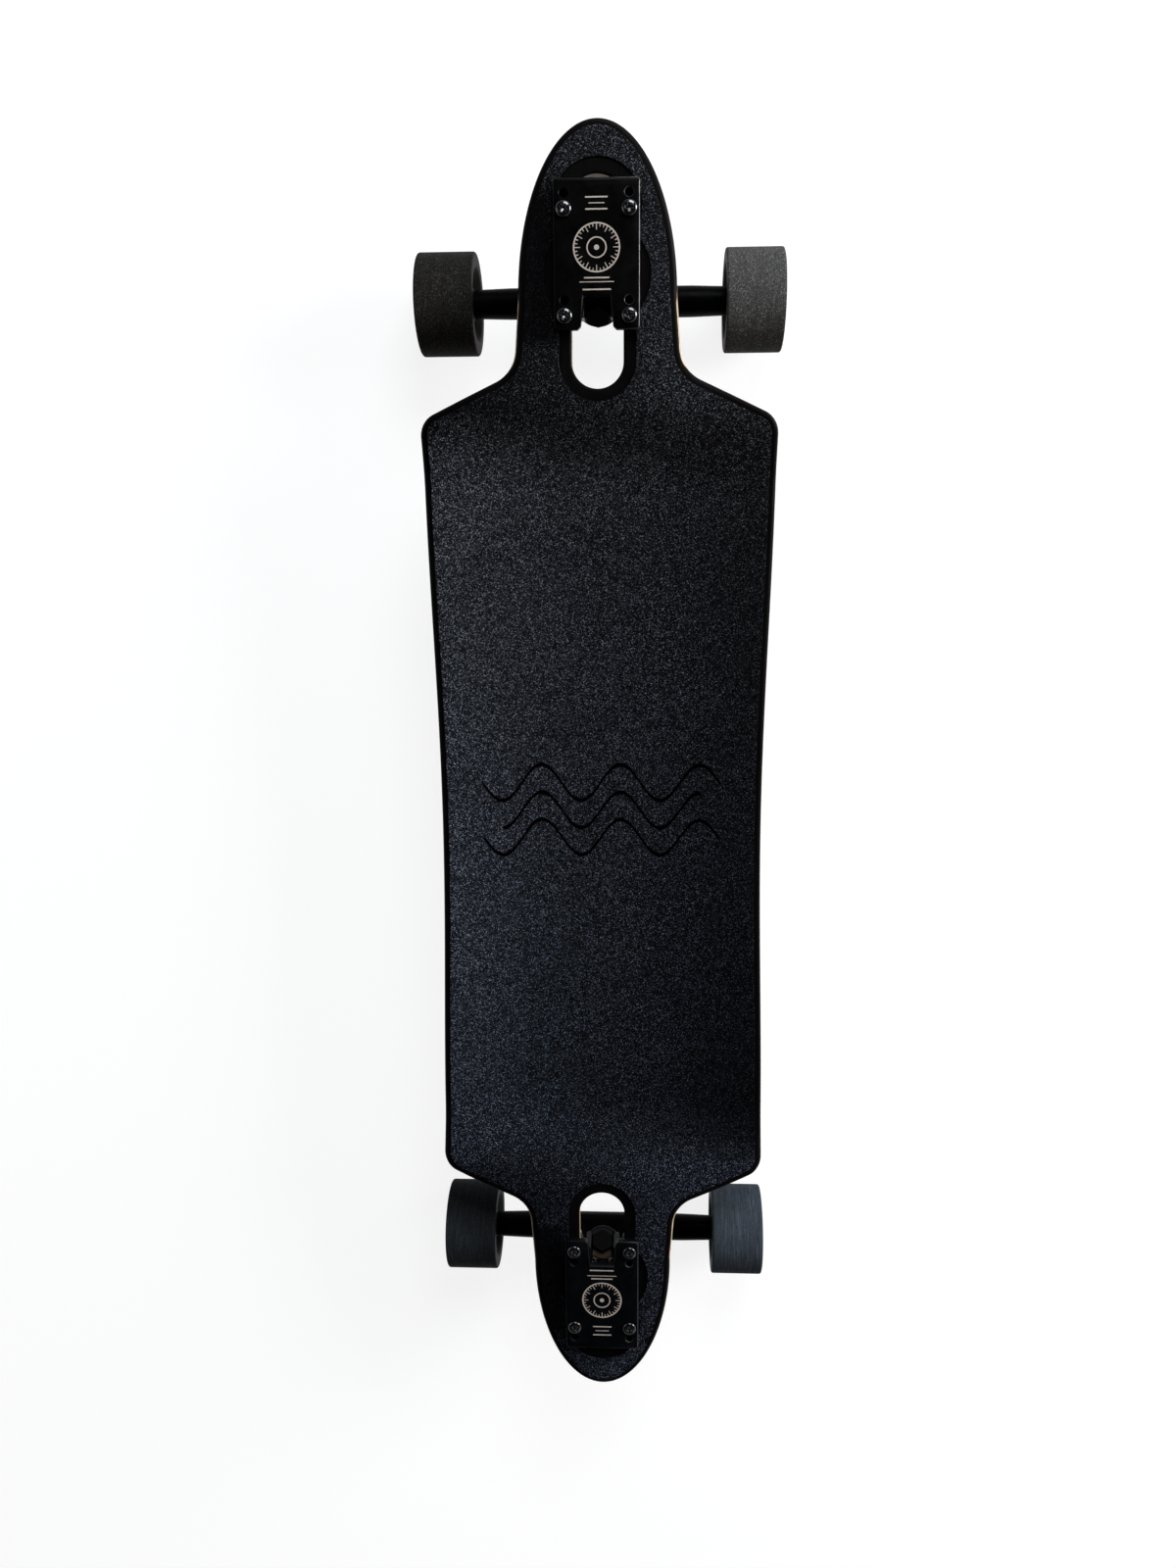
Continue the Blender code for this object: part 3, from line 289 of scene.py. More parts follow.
def lathe(corners: Corners, steps: int, turns: int = 5, closed: bool = False) -> Shell:
    """Turn a profile about Z. Its rows, turns and closed are as in rounded()."""
    profile = rounded(corners, turns, closed)
    return spun(np.repeat(profile[:, :1], steps, axis=1), profile[:, 1])


def cylinder(radius: float, low: float, high: float, steps: int) -> Shell:
    """Plain cylinder about Z between two heights."""
    return lathe([(0.0, low, 0), (radius, low, 0), (radius, high, 0), (0.0, high, 0)], steps)


def hexagonal(across: float, rows: Corners, bore: float) -> Shell:
    """Hexagonal bar about Z whose corners run under a cone at each end.

    The radius at angle a is across / 2 / cos(a folded to 30 degrees), held below each row's limit.

    Args:
        across: width across the flats.
        rows: (height, limit) from one end to the other, the limit as a share of the corner's reach.
        bore: radius of the hole through it, or 0 for a solid end.

    Returns:
        The closed shell.
    """
    folded = np.abs((whole_turn(HEX_STEPS) + pi / 6) % (pi / 3) - pi / 6)
    flat = across / 2
    height, share = np.array(rows).T
    limit = flat + (flat / cos(pi / 6) - flat) * share
    wall = np.full((1, HEX_STEPS), bore)
    radius = np.concatenate([wall, np.minimum((flat / np.cos(folded))[None, :], limit[:, None]), wall])
    height = np.concatenate([height[:1], height, height[-1:]])
    if bore > 0.0:
        radius, height = np.concatenate([radius, wall]), np.append(height, height[0])
    return spun(radius, height)


def carried(path: Array, heights: Sequence[float], insets: Sequence[float]) -> Shell:
    """Carry an upright profile round a closed plan. Both ends are filled when the mesh is made.

    Each point of row k is the path's point moved inwards along its normal by inset k.

    Args:
        path: (n, 2) plan, anticlockwise.
        heights: each row's height.
        insets: each row's distance inwards.

    Returns:
        The shell, open above and below.
    """
    ahead = np.roll(path, -1, axis=0) - path
    first = np.stack([ahead[:, 1], -ahead[:, 0]], axis=1) / np.linalg.norm(ahead, axis=1)[:, None]
    second = np.roll(first, 1, axis=0)
    miter = (first + second) / (1.0 + np.sum(first * second, axis=1))[:, None]
    plan = path[None] - miter[None] * np.asarray(insets, float)[:, None, None]
    level = np.broadcast_to(np.asarray(heights, float)[:, None, None], (*plan.shape[:2], 1))
    return grid_shell(np.concatenate([plan, level], axis=2), around=True)


# Meshes and pieces


def mesh_of(name: str, shell: Shell, filled: bool = True) -> bpy.types.Mesh:
    """Put a shell into a mesh, merge its doubled points and turn its faces outwards.

    Args:
        name: the mesh's name.
        shell: what to build.
        filled: whether open ends get a flat face.

    Returns:
        The mesh, smooth shaded up to 32 degrees, with the places in its attribute "place".
    """
    mesh = bpy.data.meshes.new(name)
    mesh.from_pydata(shell.points, [], shell.faces)
    mesh.attributes.new("place", "FLOAT_VECTOR", "POINT").data.foreach_set("vector", shell.local.ravel())
    work = bmesh.new()
    work.from_mesh(mesh)
    bmesh.ops.remove_doubles(work, verts=work.verts, dist=WELD)
    bmesh.ops.delete(work, geom=[vert for vert in work.verts if not vert.link_faces], context="VERTS")
    if filled:
        bmesh.ops.holes_fill(work, edges=work.edges, sides=0)
    bmesh.ops.recalc_face_normals(work, faces=work.faces)
    work.to_mesh(mesh)
    work.free()
    mesh.shade_smooth()
    mesh.set_sharp_from_angle(angle=CREASE)
    return mesh


def linked(name: str, data: bpy.types.ID) -> bpy.types.Object:
    """Put a new object in the scene.

    Args:
        name: its name.
        data: its mesh, lamp or camera.

    Returns:
        The object.
    """
    made = bpy.data.objects.new(name, data)
    bpy.context.scene.collection.objects.link(made)
    return made


def evaluated(source: bpy.types.Object) -> bpy.types.Mesh:
    """Mesh of an object as its modifiers leave it."""
    bpy.context.view_layer.update()
    return bpy.data.meshes.new_from_object(source.evaluated_get(bpy.context.evaluated_depsgraph_get()))


def cut_out(base: Shell, cut: Sequence[Shell]) -> bpy.types.Mesh:
    """Take shells out of another with exact Booleans.

    Args:
        base: the shell to start from.
        cut: shells taken out of it.

    Returns:
        The finished mesh.
    """
    body = linked("body", mesh_of("body", base))
    helpers = [linked("helper", mesh_of("helper", shell)) for shell in cut]
    for helper in helpers:
        step = body.modifiers.new("cut", "BOOLEAN")
        step.operation, step.object, step.solver = "DIFFERENCE", helper, "EXACT"
    made = evaluated(body)
    for used in (body, *helpers):
        bpy.data.objects.remove(used, do_unlink=True)
    return made


def merged(meshes: Sequence[bpy.types.Mesh]) -> bpy.types.Mesh:
    """Put the faces of several meshes into one.

    Args:
        meshes: the meshes.

    Returns:
        The one mesh.
    """
    work = bmesh.new()
    for mesh in meshes:
        work.from_mesh(mesh)
    made = bpy.data.meshes.new("merged")
    work.to_mesh(made)
    work.free()
    return made


def cast(
    rough: Sequence[bpy.types.Mesh], voxel: float, rounds: int, machined: bpy.types.Mesh
) -> bpy.types.Mesh:
    """Give overlapping parts one skin whose meetings are filleted as a casting's are.

    Args:
        rough: the parts.
        voxel: the skin's pitch.
        rounds: how often the skin is smoothed, each time widening the fillets.
        machined: a crisp part that is added to the skin.

    Returns:
        The mesh, its places those of its points.
    """
    body = linked("cast", merged(rough))
    skin = body.modifiers.new("skin", "REMESH")
    skin.mode, skin.voxel_size, skin.adaptivity = "VOXEL", voxel, 0.0
    soften = body.modifiers.new("soften", "SMOOTH")
    soften.factor, soften.iterations = 0.5, rounds
    made = merged([evaluated(body), machined])
    bpy.data.objects.remove(body, do_unlink=True)
    points = np.empty(len(made.vertices) * 3, np.float32)
    made.vertices.foreach_get("co", points)
    held = made.attributes.get("place") or made.attributes.new("place", "FLOAT_VECTOR", "POINT")
    held.data.foreach_set("vector", points)
    made.shade_smooth()
    made.set_sharp_from_angle(angle=CAST_CREASE)
    return made


def add_piece(
    name: str, mesh: bpy.types.Mesh, finish: bpy.types.Material, body: str = "", node: str = ""
) -> bpy.types.Object:
    """Add one finished piece.

    Args:
        name: the piece's name.
        mesh: its mesh, in the model's frame.
        finish: its material.
        body: the body that it rides on, or nothing for a piece that is left unattached.
        node: the CAD node that it replaces, if any.

    Returns:
        The object, at the origin.
    """
    made = linked(name, mesh)
    mesh.materials.clear()
    mesh.materials.append(finish)
    if body:
        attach(made, body)
    if node:
        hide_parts(node)
    log.info("piece: %s", name)
    return made


# Finishes


class Value:
    """A number, place or colour in a node tree. Its operators and methods add the nodes they name."""

    def __init__(self, sketch: "Sketch", socket: bpy.types.NodeSocket) -> None:
        """Hold one output of the sketch's tree."""
        self.sketch, self.socket = sketch, socket

    def maths(self, operation: str, other: object = 0.0) -> "Value":
        """One Math node on this value and another."""
        return self.sketch.node("Math", "Value", {0: self, 1: other}, operation=operation)

    # What the signs between values stand for
    __add__ = partialmethod(maths, "ADD")
    __sub__ = partialmethod(maths, "SUBTRACT")
    __mul__ = partialmethod(maths, "MULTIPLY")
    __truediv__ = partialmethod(maths, "DIVIDE")
    __abs__ = partialmethod(maths, "ABSOLUTE")

    def span(
        self, low: float, high: float, to_low: float = 0.0, to_high: float = 1.0, kind: str = "LINEAR"
    ) -> "Value":
        """The value moved from one range to another and held there."""
        ends = {"Value": self, "From Min": low, "From Max": high, "To Min": to_low, "To Max": to_high}
        return self.sketch.node("MapRange", "Result", ends, clamp=True, interpolation_type=kind)

    def fall(self, low: float, high: float) -> "Value":
        """1 up to the low end, falling to 0 at the high end."""
        return self.span(low, high, 1.0, 0.0)

    def parts(self) -> tuple["Value", "Value", "Value"]:
        """The three numbers of a vector."""
        split = self.sketch.node("SeparateXYZ", 0, {0: self}).socket.node
        return tuple(Value(self.sketch, output) for output in split.outputs)

    def off_axis(self) -> "Value":
        """Distance from the Z axis."""
        x, y, _ = self.parts()
        return (x * x + y * y).maths("SQRT")

    def along(self, axis: Sequence[float]) -> "Value":
        """How far a place lies along an axis."""
        return self.sketch.node("VectorMath", "Value", {0: self, 1: tuple(axis)}, operation="DOT_PRODUCT")

    def tinted(self, tint: "Value") -> "Value":
        """Product of two colours."""
        return self.sketch.node("VectorMath", "Vector", {0: self, 1: tint}, operation="MULTIPLY")

    def scaled(self, share: "Value") -> "Value":
        """Colour made lighter or darker by a share of itself."""
        return self.sketch.node("VectorMath", "Vector", {0: self, "Scale": share}, operation="SCALE")

    def stretched(self, *scale: float) -> "Value":
        """Coordinates times a scale on each axis."""
        return self.sketch.node("Mapping", "Vector", {"Vector": self, "Scale": scale})

    def noise(self, scale: float, detail: float = 2.0, rough: float = 0.5) -> "Value":
        """Noise from 0 to 1 at these coordinates, with so many features a metre."""
        settings = {"Scale": scale, "Detail": detail, "Roughness": rough}
        return self.sketch.node("TexNoise", "Fac", {"Vector": self, **settings})

    def cells(self, scale: float, output: str = "Color") -> "Value":
        """Cell pattern: the colour is random in each cell, the distance runs from its seed."""
        return self.sketch.node("TexVoronoi", output, {"Vector": self, "Scale": scale})

    def ramp(self, stops: Sequence[tuple[float, Colour]], stepped: bool = False) -> "Value":
        """Colour looked up between stops.

        Args:
            stops: (position, colour) pairs in order.
            stepped: whether each colour holds until the next stop.

        Returns:
            The colour.
        """
        made = self.sketch.node("ValToRGB", "Color", {"Fac": self})
        ramp = made.socket.node.color_ramp
        ramp.interpolation = "CONSTANT" if stepped else "LINEAR"
        while len(ramp.elements) < len(stops):
            ramp.elements.new(0.5)
        for point, (position, colour) in zip(ramp.elements, stops):
            point.position, point.color = position, (*colour, 1.0)
        return made

    def bump(self, distance: float, strength: float = 1.0, over: "Value | None" = None) -> "Value":
        """Normal of this height map, where 1 stands so many metres high, laid over another if given."""
        inputs = {"Height": self, "Distance": distance, "Strength": strength}
        return self.sketch.node("Bump", "Normal", inputs | ({"Normal": over} if over else {}))


class Sketch:
    """Node tree of a material or of the world."""

    def __init__(self, tree: bpy.types.NodeTree) -> None:
        """Start on a tree that holds its shader and its output."""
        self.tree = tree

    def feed(self, socket: bpy.types.NodeSocket, value: object) -> None:
        """Link a value to an input, or set the input where the value is plain.

        Args:
            socket: the input.
            value: what it gets.
        """
        if isinstance(value, Value):
            self.tree.links.new(value.socket, socket)
        else:
            socket.default_value = (*value, 1.0) if socket.type == "RGBA" else value

    def node(self, kind: str, output: str | int, inputs: dict | None = None, **settings: object) -> Value:
        """Add a node.

        Args:
            kind: its type, without the words that all share.
            output: the output that is wanted.
            inputs: values by the input's name or number.
            **settings: its properties.

        Returns:
            The output.
        """
        made = self.tree.nodes.new(f"ShaderNode{kind}")
        for key, value in settings.items():
            setattr(made, key, value)
        for key, value in (inputs or {}).items():
            self.feed(made.inputs[key], value)
        return Value(self, made.outputs[output])

    def spot(self) -> Value:
        """Object coordinates, in metres."""
        return self.node("TexCoord", "Object")

    def place(self) -> Value:
        """The piece's own coordinates, in metres."""
        return self.node("Attribute", "Vector", attribute_name="place")

    def blend(self, share: object, first: object, second: object) -> Value:
        """Colour between two others, the first where the share is 0."""
        return self.node("Mix", 2, {"Factor": share, 6: first, 7: second}, data_type="RGBA")

    def shade(self, shader: str = "Principled BSDF", **values: object) -> None:
        """Set or link the shader's sockets, their names written with underscores."""
        for key, value in values.items():
            self.feed(self.tree.nodes[shader].inputs[key.replace("_", " ")], value)


@dataclass(frozen=True)
class Finish:
    """A material's recipe. dress() of each kind lays out its nodes."""

    name: str

    def build(self) -> bpy.types.Material:
        """Make the material.

        Returns:
            The material.
        """
        made = bpy.data.materials.new(self.name)
        made.use_nodes = True
        self.dress(Sketch(made.node_tree))
        return made

    def dress(self, sketch: Sketch) -> None:
        """Lay out the nodes."""
        raise NotImplementedError


@dataclass(frozen=True)
class Grit(Finish):
    """Black grip sheet: fine mineral grains in resin, some of them pale, its colour scaled by painted light
    and shade across the board.
    """

    name: str = "black_grit"
    grains: Stops = ((0.0, 0.0003), (0.45, 0.0012), (0.75, 0.0115), (0.92, 0.0400), (1.0, 0.1500))
    warm_grain: Colour = (0.1500, 0.1455, 0.1380)
    nose_tint: Colour = (0.96, 1.0, 1.20)
    tail_tint: Colour = (0.84, 1.0, 1.42)
    cut: Colour = (0.0002, 0.0002, 0.0003)
    grain_size: float = 0.00047
    groove_width: float = 0.0026
    wave_height: float = 0.0130
    wave_length: float = 0.0560
    waves: tuple[tuple[float, float], ...] = ((0.002, 0.0700), (0.022, 0.0840), (-0.018, 0.0840))
    crisp: float = 0.0003
    platform_half: float = 0.110
    neck_half: float = 0.050
    neck_start: float = 0.245
    neck_end: float = 0.275
    # Slopes and levels of the painted light and shade scaled into the grit's colour, and, in the last five
    # fields, of the painted shadow of each plate on its left.
    nose_slope: float = -0.60
    nose_from: float = 0.195
    nose_level: float = 1.3
    tail_slope: float = -0.95
    tail_from: float = 0.05
    tail_level: float = 0.60
    neck_slope: float = 0.45
    neck_level: float = 0.74
    tip_start: float = 0.400
    tip_end: float = 0.430
    tip_level: float = 1.11
    plate_shadow: float = 0.22
    plate_shadow_edge: float = 0.026
    plate_shadow_start: float = 0.318
    plate_shadow_end: float = 0.402
    plate_shadow_soft: float = 0.006

    def dust_and_painted_light(self, spot: Value) -> Value:
        """Share that scales the grit's colour, painted light and shade: lightest on the platform's left,
        which faces the window, and darker on the necks.

        On the platform it is e^(slope x / half), lighter towards the nose's ramp and darker towards the tail;
        on the necks it is the same with values of their own, lighter on their right, towards the window. Left
        of each plate it is a painted shadow of the plate.

        Args:
            spot: the place.

        Returns:
            The share, about 1 in the middle of the board.
        """
        x, y, _ = spot.parts()
        far, soft = abs(y), self.plate_shadow_soft
        slope = y.span(-self.neck_start, self.neck_start, self.tail_slope, self.nose_slope)
        nose = y.span(self.nose_from, self.neck_start, 1.0, self.nose_level)
        tail = y.span(-self.neck_end, -self.tail_from, self.tail_level, 1.0)
        platform = (x / self.platform_half * slope).maths("EXPONENT") * (nose * tail)
        side = x.span(-self.neck_half, self.neck_half, -self.neck_slope, self.neck_slope)
        level = far.span(self.tip_start, self.tip_end, self.neck_level, self.tip_level)
        neck = side.maths("EXPONENT") * level
        share = platform + far.span(self.neck_start, self.neck_end) * (neck - platform)
        # Painted shadow of the plate, on its left: the share falls there.
        plate_shadow = x.fall(-self.plate_shadow_edge - soft, -self.plate_shadow_edge) * far.span(self.plate_shadow_start - soft, self.plate_shadow_start)
        plate_shadow = plate_shadow * far.fall(self.plate_shadow_end, self.plate_shadow_end + soft)
        return share * plate_shadow.span(0.0, 1.0, 1.0, self.plate_shadow)

    def wave(self, spot: Value, along: float, reach: float) -> Value:
        """Mask of one plain die-cut wave across the sheet.

        It is 1 where |y - along - height sin(2 pi x / length)| is under half the groove's width and
        |x| is under reach.

        Args:
            spot: the place.
            along: the wave's middle, from the middle of the board.
            reach: half its width across the board.

        Returns:
            The mask.
        """
        x, y, _ = spot.parts()
        swing = (x * (2 * pi / self.wave_length)).maths("SINE") * self.wave_height
        half = self.groove_width / 2
        line = abs(y - along - swing).fall(half, half + self.crisp)
        return line * abs(x).fall(reach, reach + self.crisp)

    def dress(self, sketch: Sketch) -> None:
        """Lay out the nodes.

        Args:
            sketch: the material's nodes.
        """
        spot = sketch.spot()
        pitch = 1.0 / self.grain_size
        pick, warmth, _ = spot.cells(pitch).parts()
        level = pick + spot.noise(14.0).span(0.3, 0.7, -0.01, 0.01)
        grains = level.ramp([(at, (grey, grey, grey)) for at, grey in self.grains])
        toward_nose = spot.parts()[1].span(-self.neck_start, self.neck_start)
        colour = grains.tinted(sketch.blend(toward_nose, self.tail_tint, self.nose_tint))
        colour = sketch.blend(warmth.span(0.8, 0.9) * level.span(0.9, 1.0), colour, self.warm_grain)
        waves, *others = (self.wave(spot, along, reach) for along, reach in self.waves)
        for other in others:
            waves = waves.maths("MAXIMUM", other)
        flat = waves.fall(0.0, 1.0)
        height = spot.cells(pitch, "Distance").fall(0.0, 0.7) * pick.span(0.0, 1.0, 0.4, 1.0) * flat
        # The colour is scaled by painted light and shade, with a painted shadow beside each plate.
        sketch.shade(
            Base_Color=sketch.blend(waves, colour.scaled(self.dust_and_painted_light(spot)), self.cut),
            Roughness=0.62,
            Specular_IOR_Level=waves.span(0.0, 1.0, 0.035, 0.005),
            Normal=height.bump(0.00012, 0.6, flat.bump(0.0005)),
        )


@dataclass(frozen=True)
class StainedBoard(Finish):
    """Black-stained bamboo faces over pale plies, which show along every edge."""

    name: str = "black_stained_wood"
    stain: Colour = (0.0016, 0.0013, 0.0013)
    wear_and_painted_highlight: Colour = (0.0034, 0.0027, 0.0026)
    pale: Colour = (0.62, 0.51, 0.37)
    tan: Colour = (0.42, 0.29, 0.17)
    glue: Colour = (0.085, 0.060, 0.045)
    plies: tuple[float, ...] = (0.0, 0.170, 0.330, 0.505, 0.675, 0.845)
    glue_line: float = 0.015
    thickness: float = 0.0120
    veneer: float = 0.00055
    wrap: float = 0.0028
    bare_wrap: float = 0.0010
    slot_wrap: float = 0.0015
    bare_start: float = 0.2950
    bare_end: float = 0.3480
    bare_soft: float = 0.008
    slot_side: float = 0.030
    slot_end: float = 0.4185

    def stain_depth(self, along: Value, across: Value) -> Value:
        """How deep the stain reaches on the edge: over the whole round, but less beside the hangers.

        Args:
            along: place along the board.
            across: place across it.

        Returns:
            The depth, which is even inside the openings.
        """
        far, soft = abs(along), self.bare_soft
        bare = far.span(self.bare_start, self.bare_start + soft)
        bare = bare * far.fall(self.bare_end - soft, self.bare_end)
        outside = abs(across).span(self.slot_side, self.slot_side + 0.001)
        outside = outside.maths("MAXIMUM", far.span(self.slot_end, self.slot_end + 0.0005))
        rail = bare.span(0.0, 1.0, self.wrap, self.bare_wrap)
        return outside * rail + outside.fall(0.0, 1.0) * self.slot_wrap

    def dress(self, sketch: Sketch) -> None:
        """Lay out the nodes. The places are (x, y, depth under the top face).

        Args:
            sketch: the material's nodes.
        """
        place = sketch.place()
        x, y, depth = place.parts()
        streak = place.stretched(1.0, 0.035, 1.0).noise(900.0, 4.0, 0.65)
        slats = place.stretched(1.0, 0.0, 0.0).noise(95.0, 0.0)
        fleck = place.stretched(1.0, 0.09, 1.0).noise(2600.0, 2.0, 0.7)
        grain = place.stretched(0.3, 0.12, 1.0).noise(2400.0, 3.0, 0.6)
        face = sketch.blend(streak.span(0.38, 0.75), self.stain, self.wear_and_painted_highlight)
        face = sketch.blend(slats.span(0.35, 0.65, 0.0, 0.45), face, self.stain)
        stops = []
        for number, start in enumerate(self.plies):
            stops += [(start - self.glue_line, self.glue)] if number else []
            stops.append((start, self.tan if number % 2 else self.pale))
        plies = (depth / self.thickness).ramp(stops, stepped=True)
        under = depth + place.noise(160.0, 3.0).span(0.3, 0.7, -0.00014, 0.00014)
        lower = self.thickness - self.veneer
        edged = (under - self.stain_depth(y, x)).span(0.0, 0.0001) * under.fall(lower - 0.0001, lower)
        edge = sketch.blend(grain.span(0.3, 0.8, 0.0, 0.35), plies, self.glue)
        sketch.shade(
            Base_Color=sketch.blend(edged, face, edge),
            Roughness=streak.span(0.3, 0.8, 0.36, 0.55),
            Specular_IOR_Level=0.04,
            Normal=sketch.blend(edged, fleck, grain).bump(0.00006, 0.5),
        )


@dataclass(frozen=True)
class BlackCast(Finish):
    """Satin black coat on cast aluminium, with the casting's fine pebble and a warm sheen."""

    coat: Colour
    rubbed_and_painted_highlight: Colour
    rough: float = 0.30
    pebble: float = 0.00006
    gloss: float = 0.05
    dusty: float = 0.18
    dust_and_painted_light: Colour = (0.030, 0.026, 0.023)
    # Bevel colour, lighter than the coat: rubbed patches, and a painted highlight on the side towards the
    # window.
    bevel: Colour = (0.045, 0.045, 0.047)
    bevel_gloss: float = 0.45
    bevel_depth: float = 0.0007
    notch_half: float = 0.0082
    notch_root: float = -0.0186
    seat: Colour = (0.026, 0.0105, 0.0035)
    # Which way along X the painted highlight on the bevels lies: towards the window.
    painted_highlight_side: float = 0.0
    seat_frame: Array | None = None
    seat_height: float = 0.0

    def seat_mask(self, place: Value) -> Value:
        """Mask of the milled face under the kingpin's head, strongest towards the plate.

        It is 1 where a place's height along the frame's Z axis is the seat's.

        Args:
            place: the place.

        Returns:
            The mask.
        """
        origin = self.seat_frame[:3, 3]
        _, toward, up = self.seat_frame[:3, :3].T
        away = abs(place.along(up) - (float(origin @ up) + self.seat_height))
        out = place.along(toward) - float(origin @ toward)
        return away.fall(0.0003, 0.0005) * (out.span(0.0045, 0.0075) * out.fall(0.0126, 0.0130))

    def bevel_mask(self, place: Value) -> Value:
        """Mask of the lighter bevels, the plate's top edge and holes: rubbed patches, and a painted highlight
        strongest on the side towards the window.

        Args:
            place: the place.

        Returns:
            The mask.
        """
        x, y, height = place.parts()
        rub = place.noise(380.0, 4.0, 0.7).span(0.30, 0.55, 0.35, 1.0)
        low = height.span(-self.bevel_depth - 0.0001, -self.bevel_depth)
        # Painted highlight: the bevels on the window's side.
        side = (x * self.painted_highlight_side).span(0.0, 0.025, 0.03, 1.0)
        notch = abs(x).span(self.notch_half, self.notch_half + 0.0004)
        notch = notch.maths("MAXIMUM", y.span(self.notch_root, self.notch_root + 0.0004))
        return low * height.fall(-0.00012, -0.00004) * rub * (side * notch)

    def dress(self, sketch: Sketch) -> None:
        """Lay out the nodes.

        Args:
            sketch: the material's nodes.
        """
        place = sketch.place()
        cloud = place.noise(75.0, 4.0, 0.6)
        dust_and_painted_light = place.noise(420.0, 5.0, 0.75).span(0.60, 0.80) * self.dusty
        colour = sketch.blend(cloud.span(0.35, 0.75), self.coat, self.rubbed_and_painted_highlight)
        colour = sketch.blend(dust_and_painted_light, colour, self.dust_and_painted_light)
        if self.seat_frame is not None:
            colour = sketch.blend(self.seat_mask(place), colour, self.seat)
        gloss = self.gloss
        # Lighter, glossier bevels: rubbed patches and a painted highlight.
        if self.painted_highlight_side:
            rubbed_and_painted_highlight = self.bevel_mask(place)
            colour = sketch.blend(rubbed_and_painted_highlight, colour, self.bevel)
            gloss = rubbed_and_painted_highlight.span(0.0, 1.0, self.gloss, self.bevel_gloss)
        sketch.shade(
            Base_Color=colour,
            Roughness=cloud.span(0.3, 0.7, self.rough, self.rough + 0.14),
            Specular_IOR_Level=gloss,
            Normal=place.noise(1700.0, 3.0, 0.6).bump(self.pebble, 0.55),
        )


@dataclass(frozen=True)
class BlackScrew(Finish):
    """Glossy black oxide on screw heads, lighter round the cross recess with wear and a painted highlight."""

    name: str = "black_oxide"
    oxide: Colour = (0.0020, 0.0020, 0.0025)
    scuff: Colour = (0.016, 0.016, 0.018)
    bright: Colour = (0.045, 0.046, 0.050)
    recess_half: float = 0.00072
    recess_reach: float = 0.0026

    def dress(self, sketch: Sketch) -> None:
        """Lay out the nodes.

        Args:
            sketch: the material's nodes.
        """
        place = sketch.place()
        rub = place.noise(900.0, 5.0, 0.7).span(0.58, 0.74)
        smear = place.noise(300.0, 3.0)
        x, y, height = (abs(part) for part in place.parts())
        line = abs(x.maths("MINIMUM", y) - self.recess_half).fall(0.0001, 0.0003)
        inside = x.maths("MAXIMUM", y).fall(self.recess_reach, self.recess_reach + 0.0003)
        # Lighter lines along the cross recess: wear and a painted highlight.
        wear_and_painted_highlight = line * inside * height.span(0.0014, 0.0018)
        sketch.shade(
            Base_Color=sketch.blend(wear_and_painted_highlight, sketch.blend(rub, self.oxide, self.scuff), self.bright),
            Roughness=smear.span(0.3, 0.7, 0.10, 0.20),
            Specular_IOR_Level=0.90,
            Normal=smear.bump(0.00003, 0.4),
        )


@dataclass(frozen=True)
class TurnedSteel(Finish):
    """Bright turned steel: fine tool rings round the axis, a thread, and a little oil stain."""

    name: str = "bright_steel"
    metal: Colour = (0.60, 0.60, 0.61)
    stained: Colour = (0.34, 0.32, 0.30)
    thread_from: float = 0.1145
    thread_pitch: float = 0.00105

    def dress(self, sketch: Sketch) -> None:
        """Lay out the nodes. The places run along their own Z axis.

        Args:
            sketch: the material's nodes.
        """
        place = sketch.place()
        x, y, z = place.parts()
        rings = place.stretched(0.05, 0.05, 1.0).noise(5200.0, 2.0, 0.6)
        stain = place.noise(210.0, 4.0, 0.65).span(0.45, 0.75)
        wound = z / self.thread_pitch + y.maths("ARCTAN2", x) / (2 * pi)
        thread = wound.maths("PINGPONG", 0.5) * abs(z).span(self.thread_from, self.thread_from + 0.0004)
        sketch.shade(
            Base_Color=sketch.blend(stain * 0.6, self.metal, self.stained),
            Roughness=rings.span(0.3, 0.7, 0.22, 0.38),
            Metallic=1.0,
            Normal=(rings * 0.04 + thread).bump(0.0004, 0.7),
        )


@dataclass(frozen=True)
class Clouded(Finish):
    """Body colour veiled in clouds under a fine skin: dulled zinc plate, or dusty urethane and plastic."""

    body: Colour
    veil: Colour
    cloud: tuple[float, float, float] = (340.0, 5.0, 0.7)
    share: tuple[float, float] = (0.45, 0.8)
    rough: tuple[float, float] = (0.42, 0.62)
    skin: tuple[float, float] = (1500.0, 3.0)
    depth: float = 0.00004
    metallic: float = 0.0
    specular: float = 0.40

    def dress(self, sketch: Sketch) -> None:
        """Lay out the nodes.

        Args:
            sketch: the material's nodes.
        """
        place = sketch.place()
        cloud = place.noise(*self.cloud)
        sketch.shade(
            Base_Color=sketch.blend(cloud.span(*self.share), self.body, self.veil),
            Roughness=cloud.span(0.3, 0.7, *self.rough),
            Metallic=self.metallic,
            Specular_IOR_Level=self.specular,
            Normal=place.noise(*self.skin).bump(self.depth, 0.5),
        )


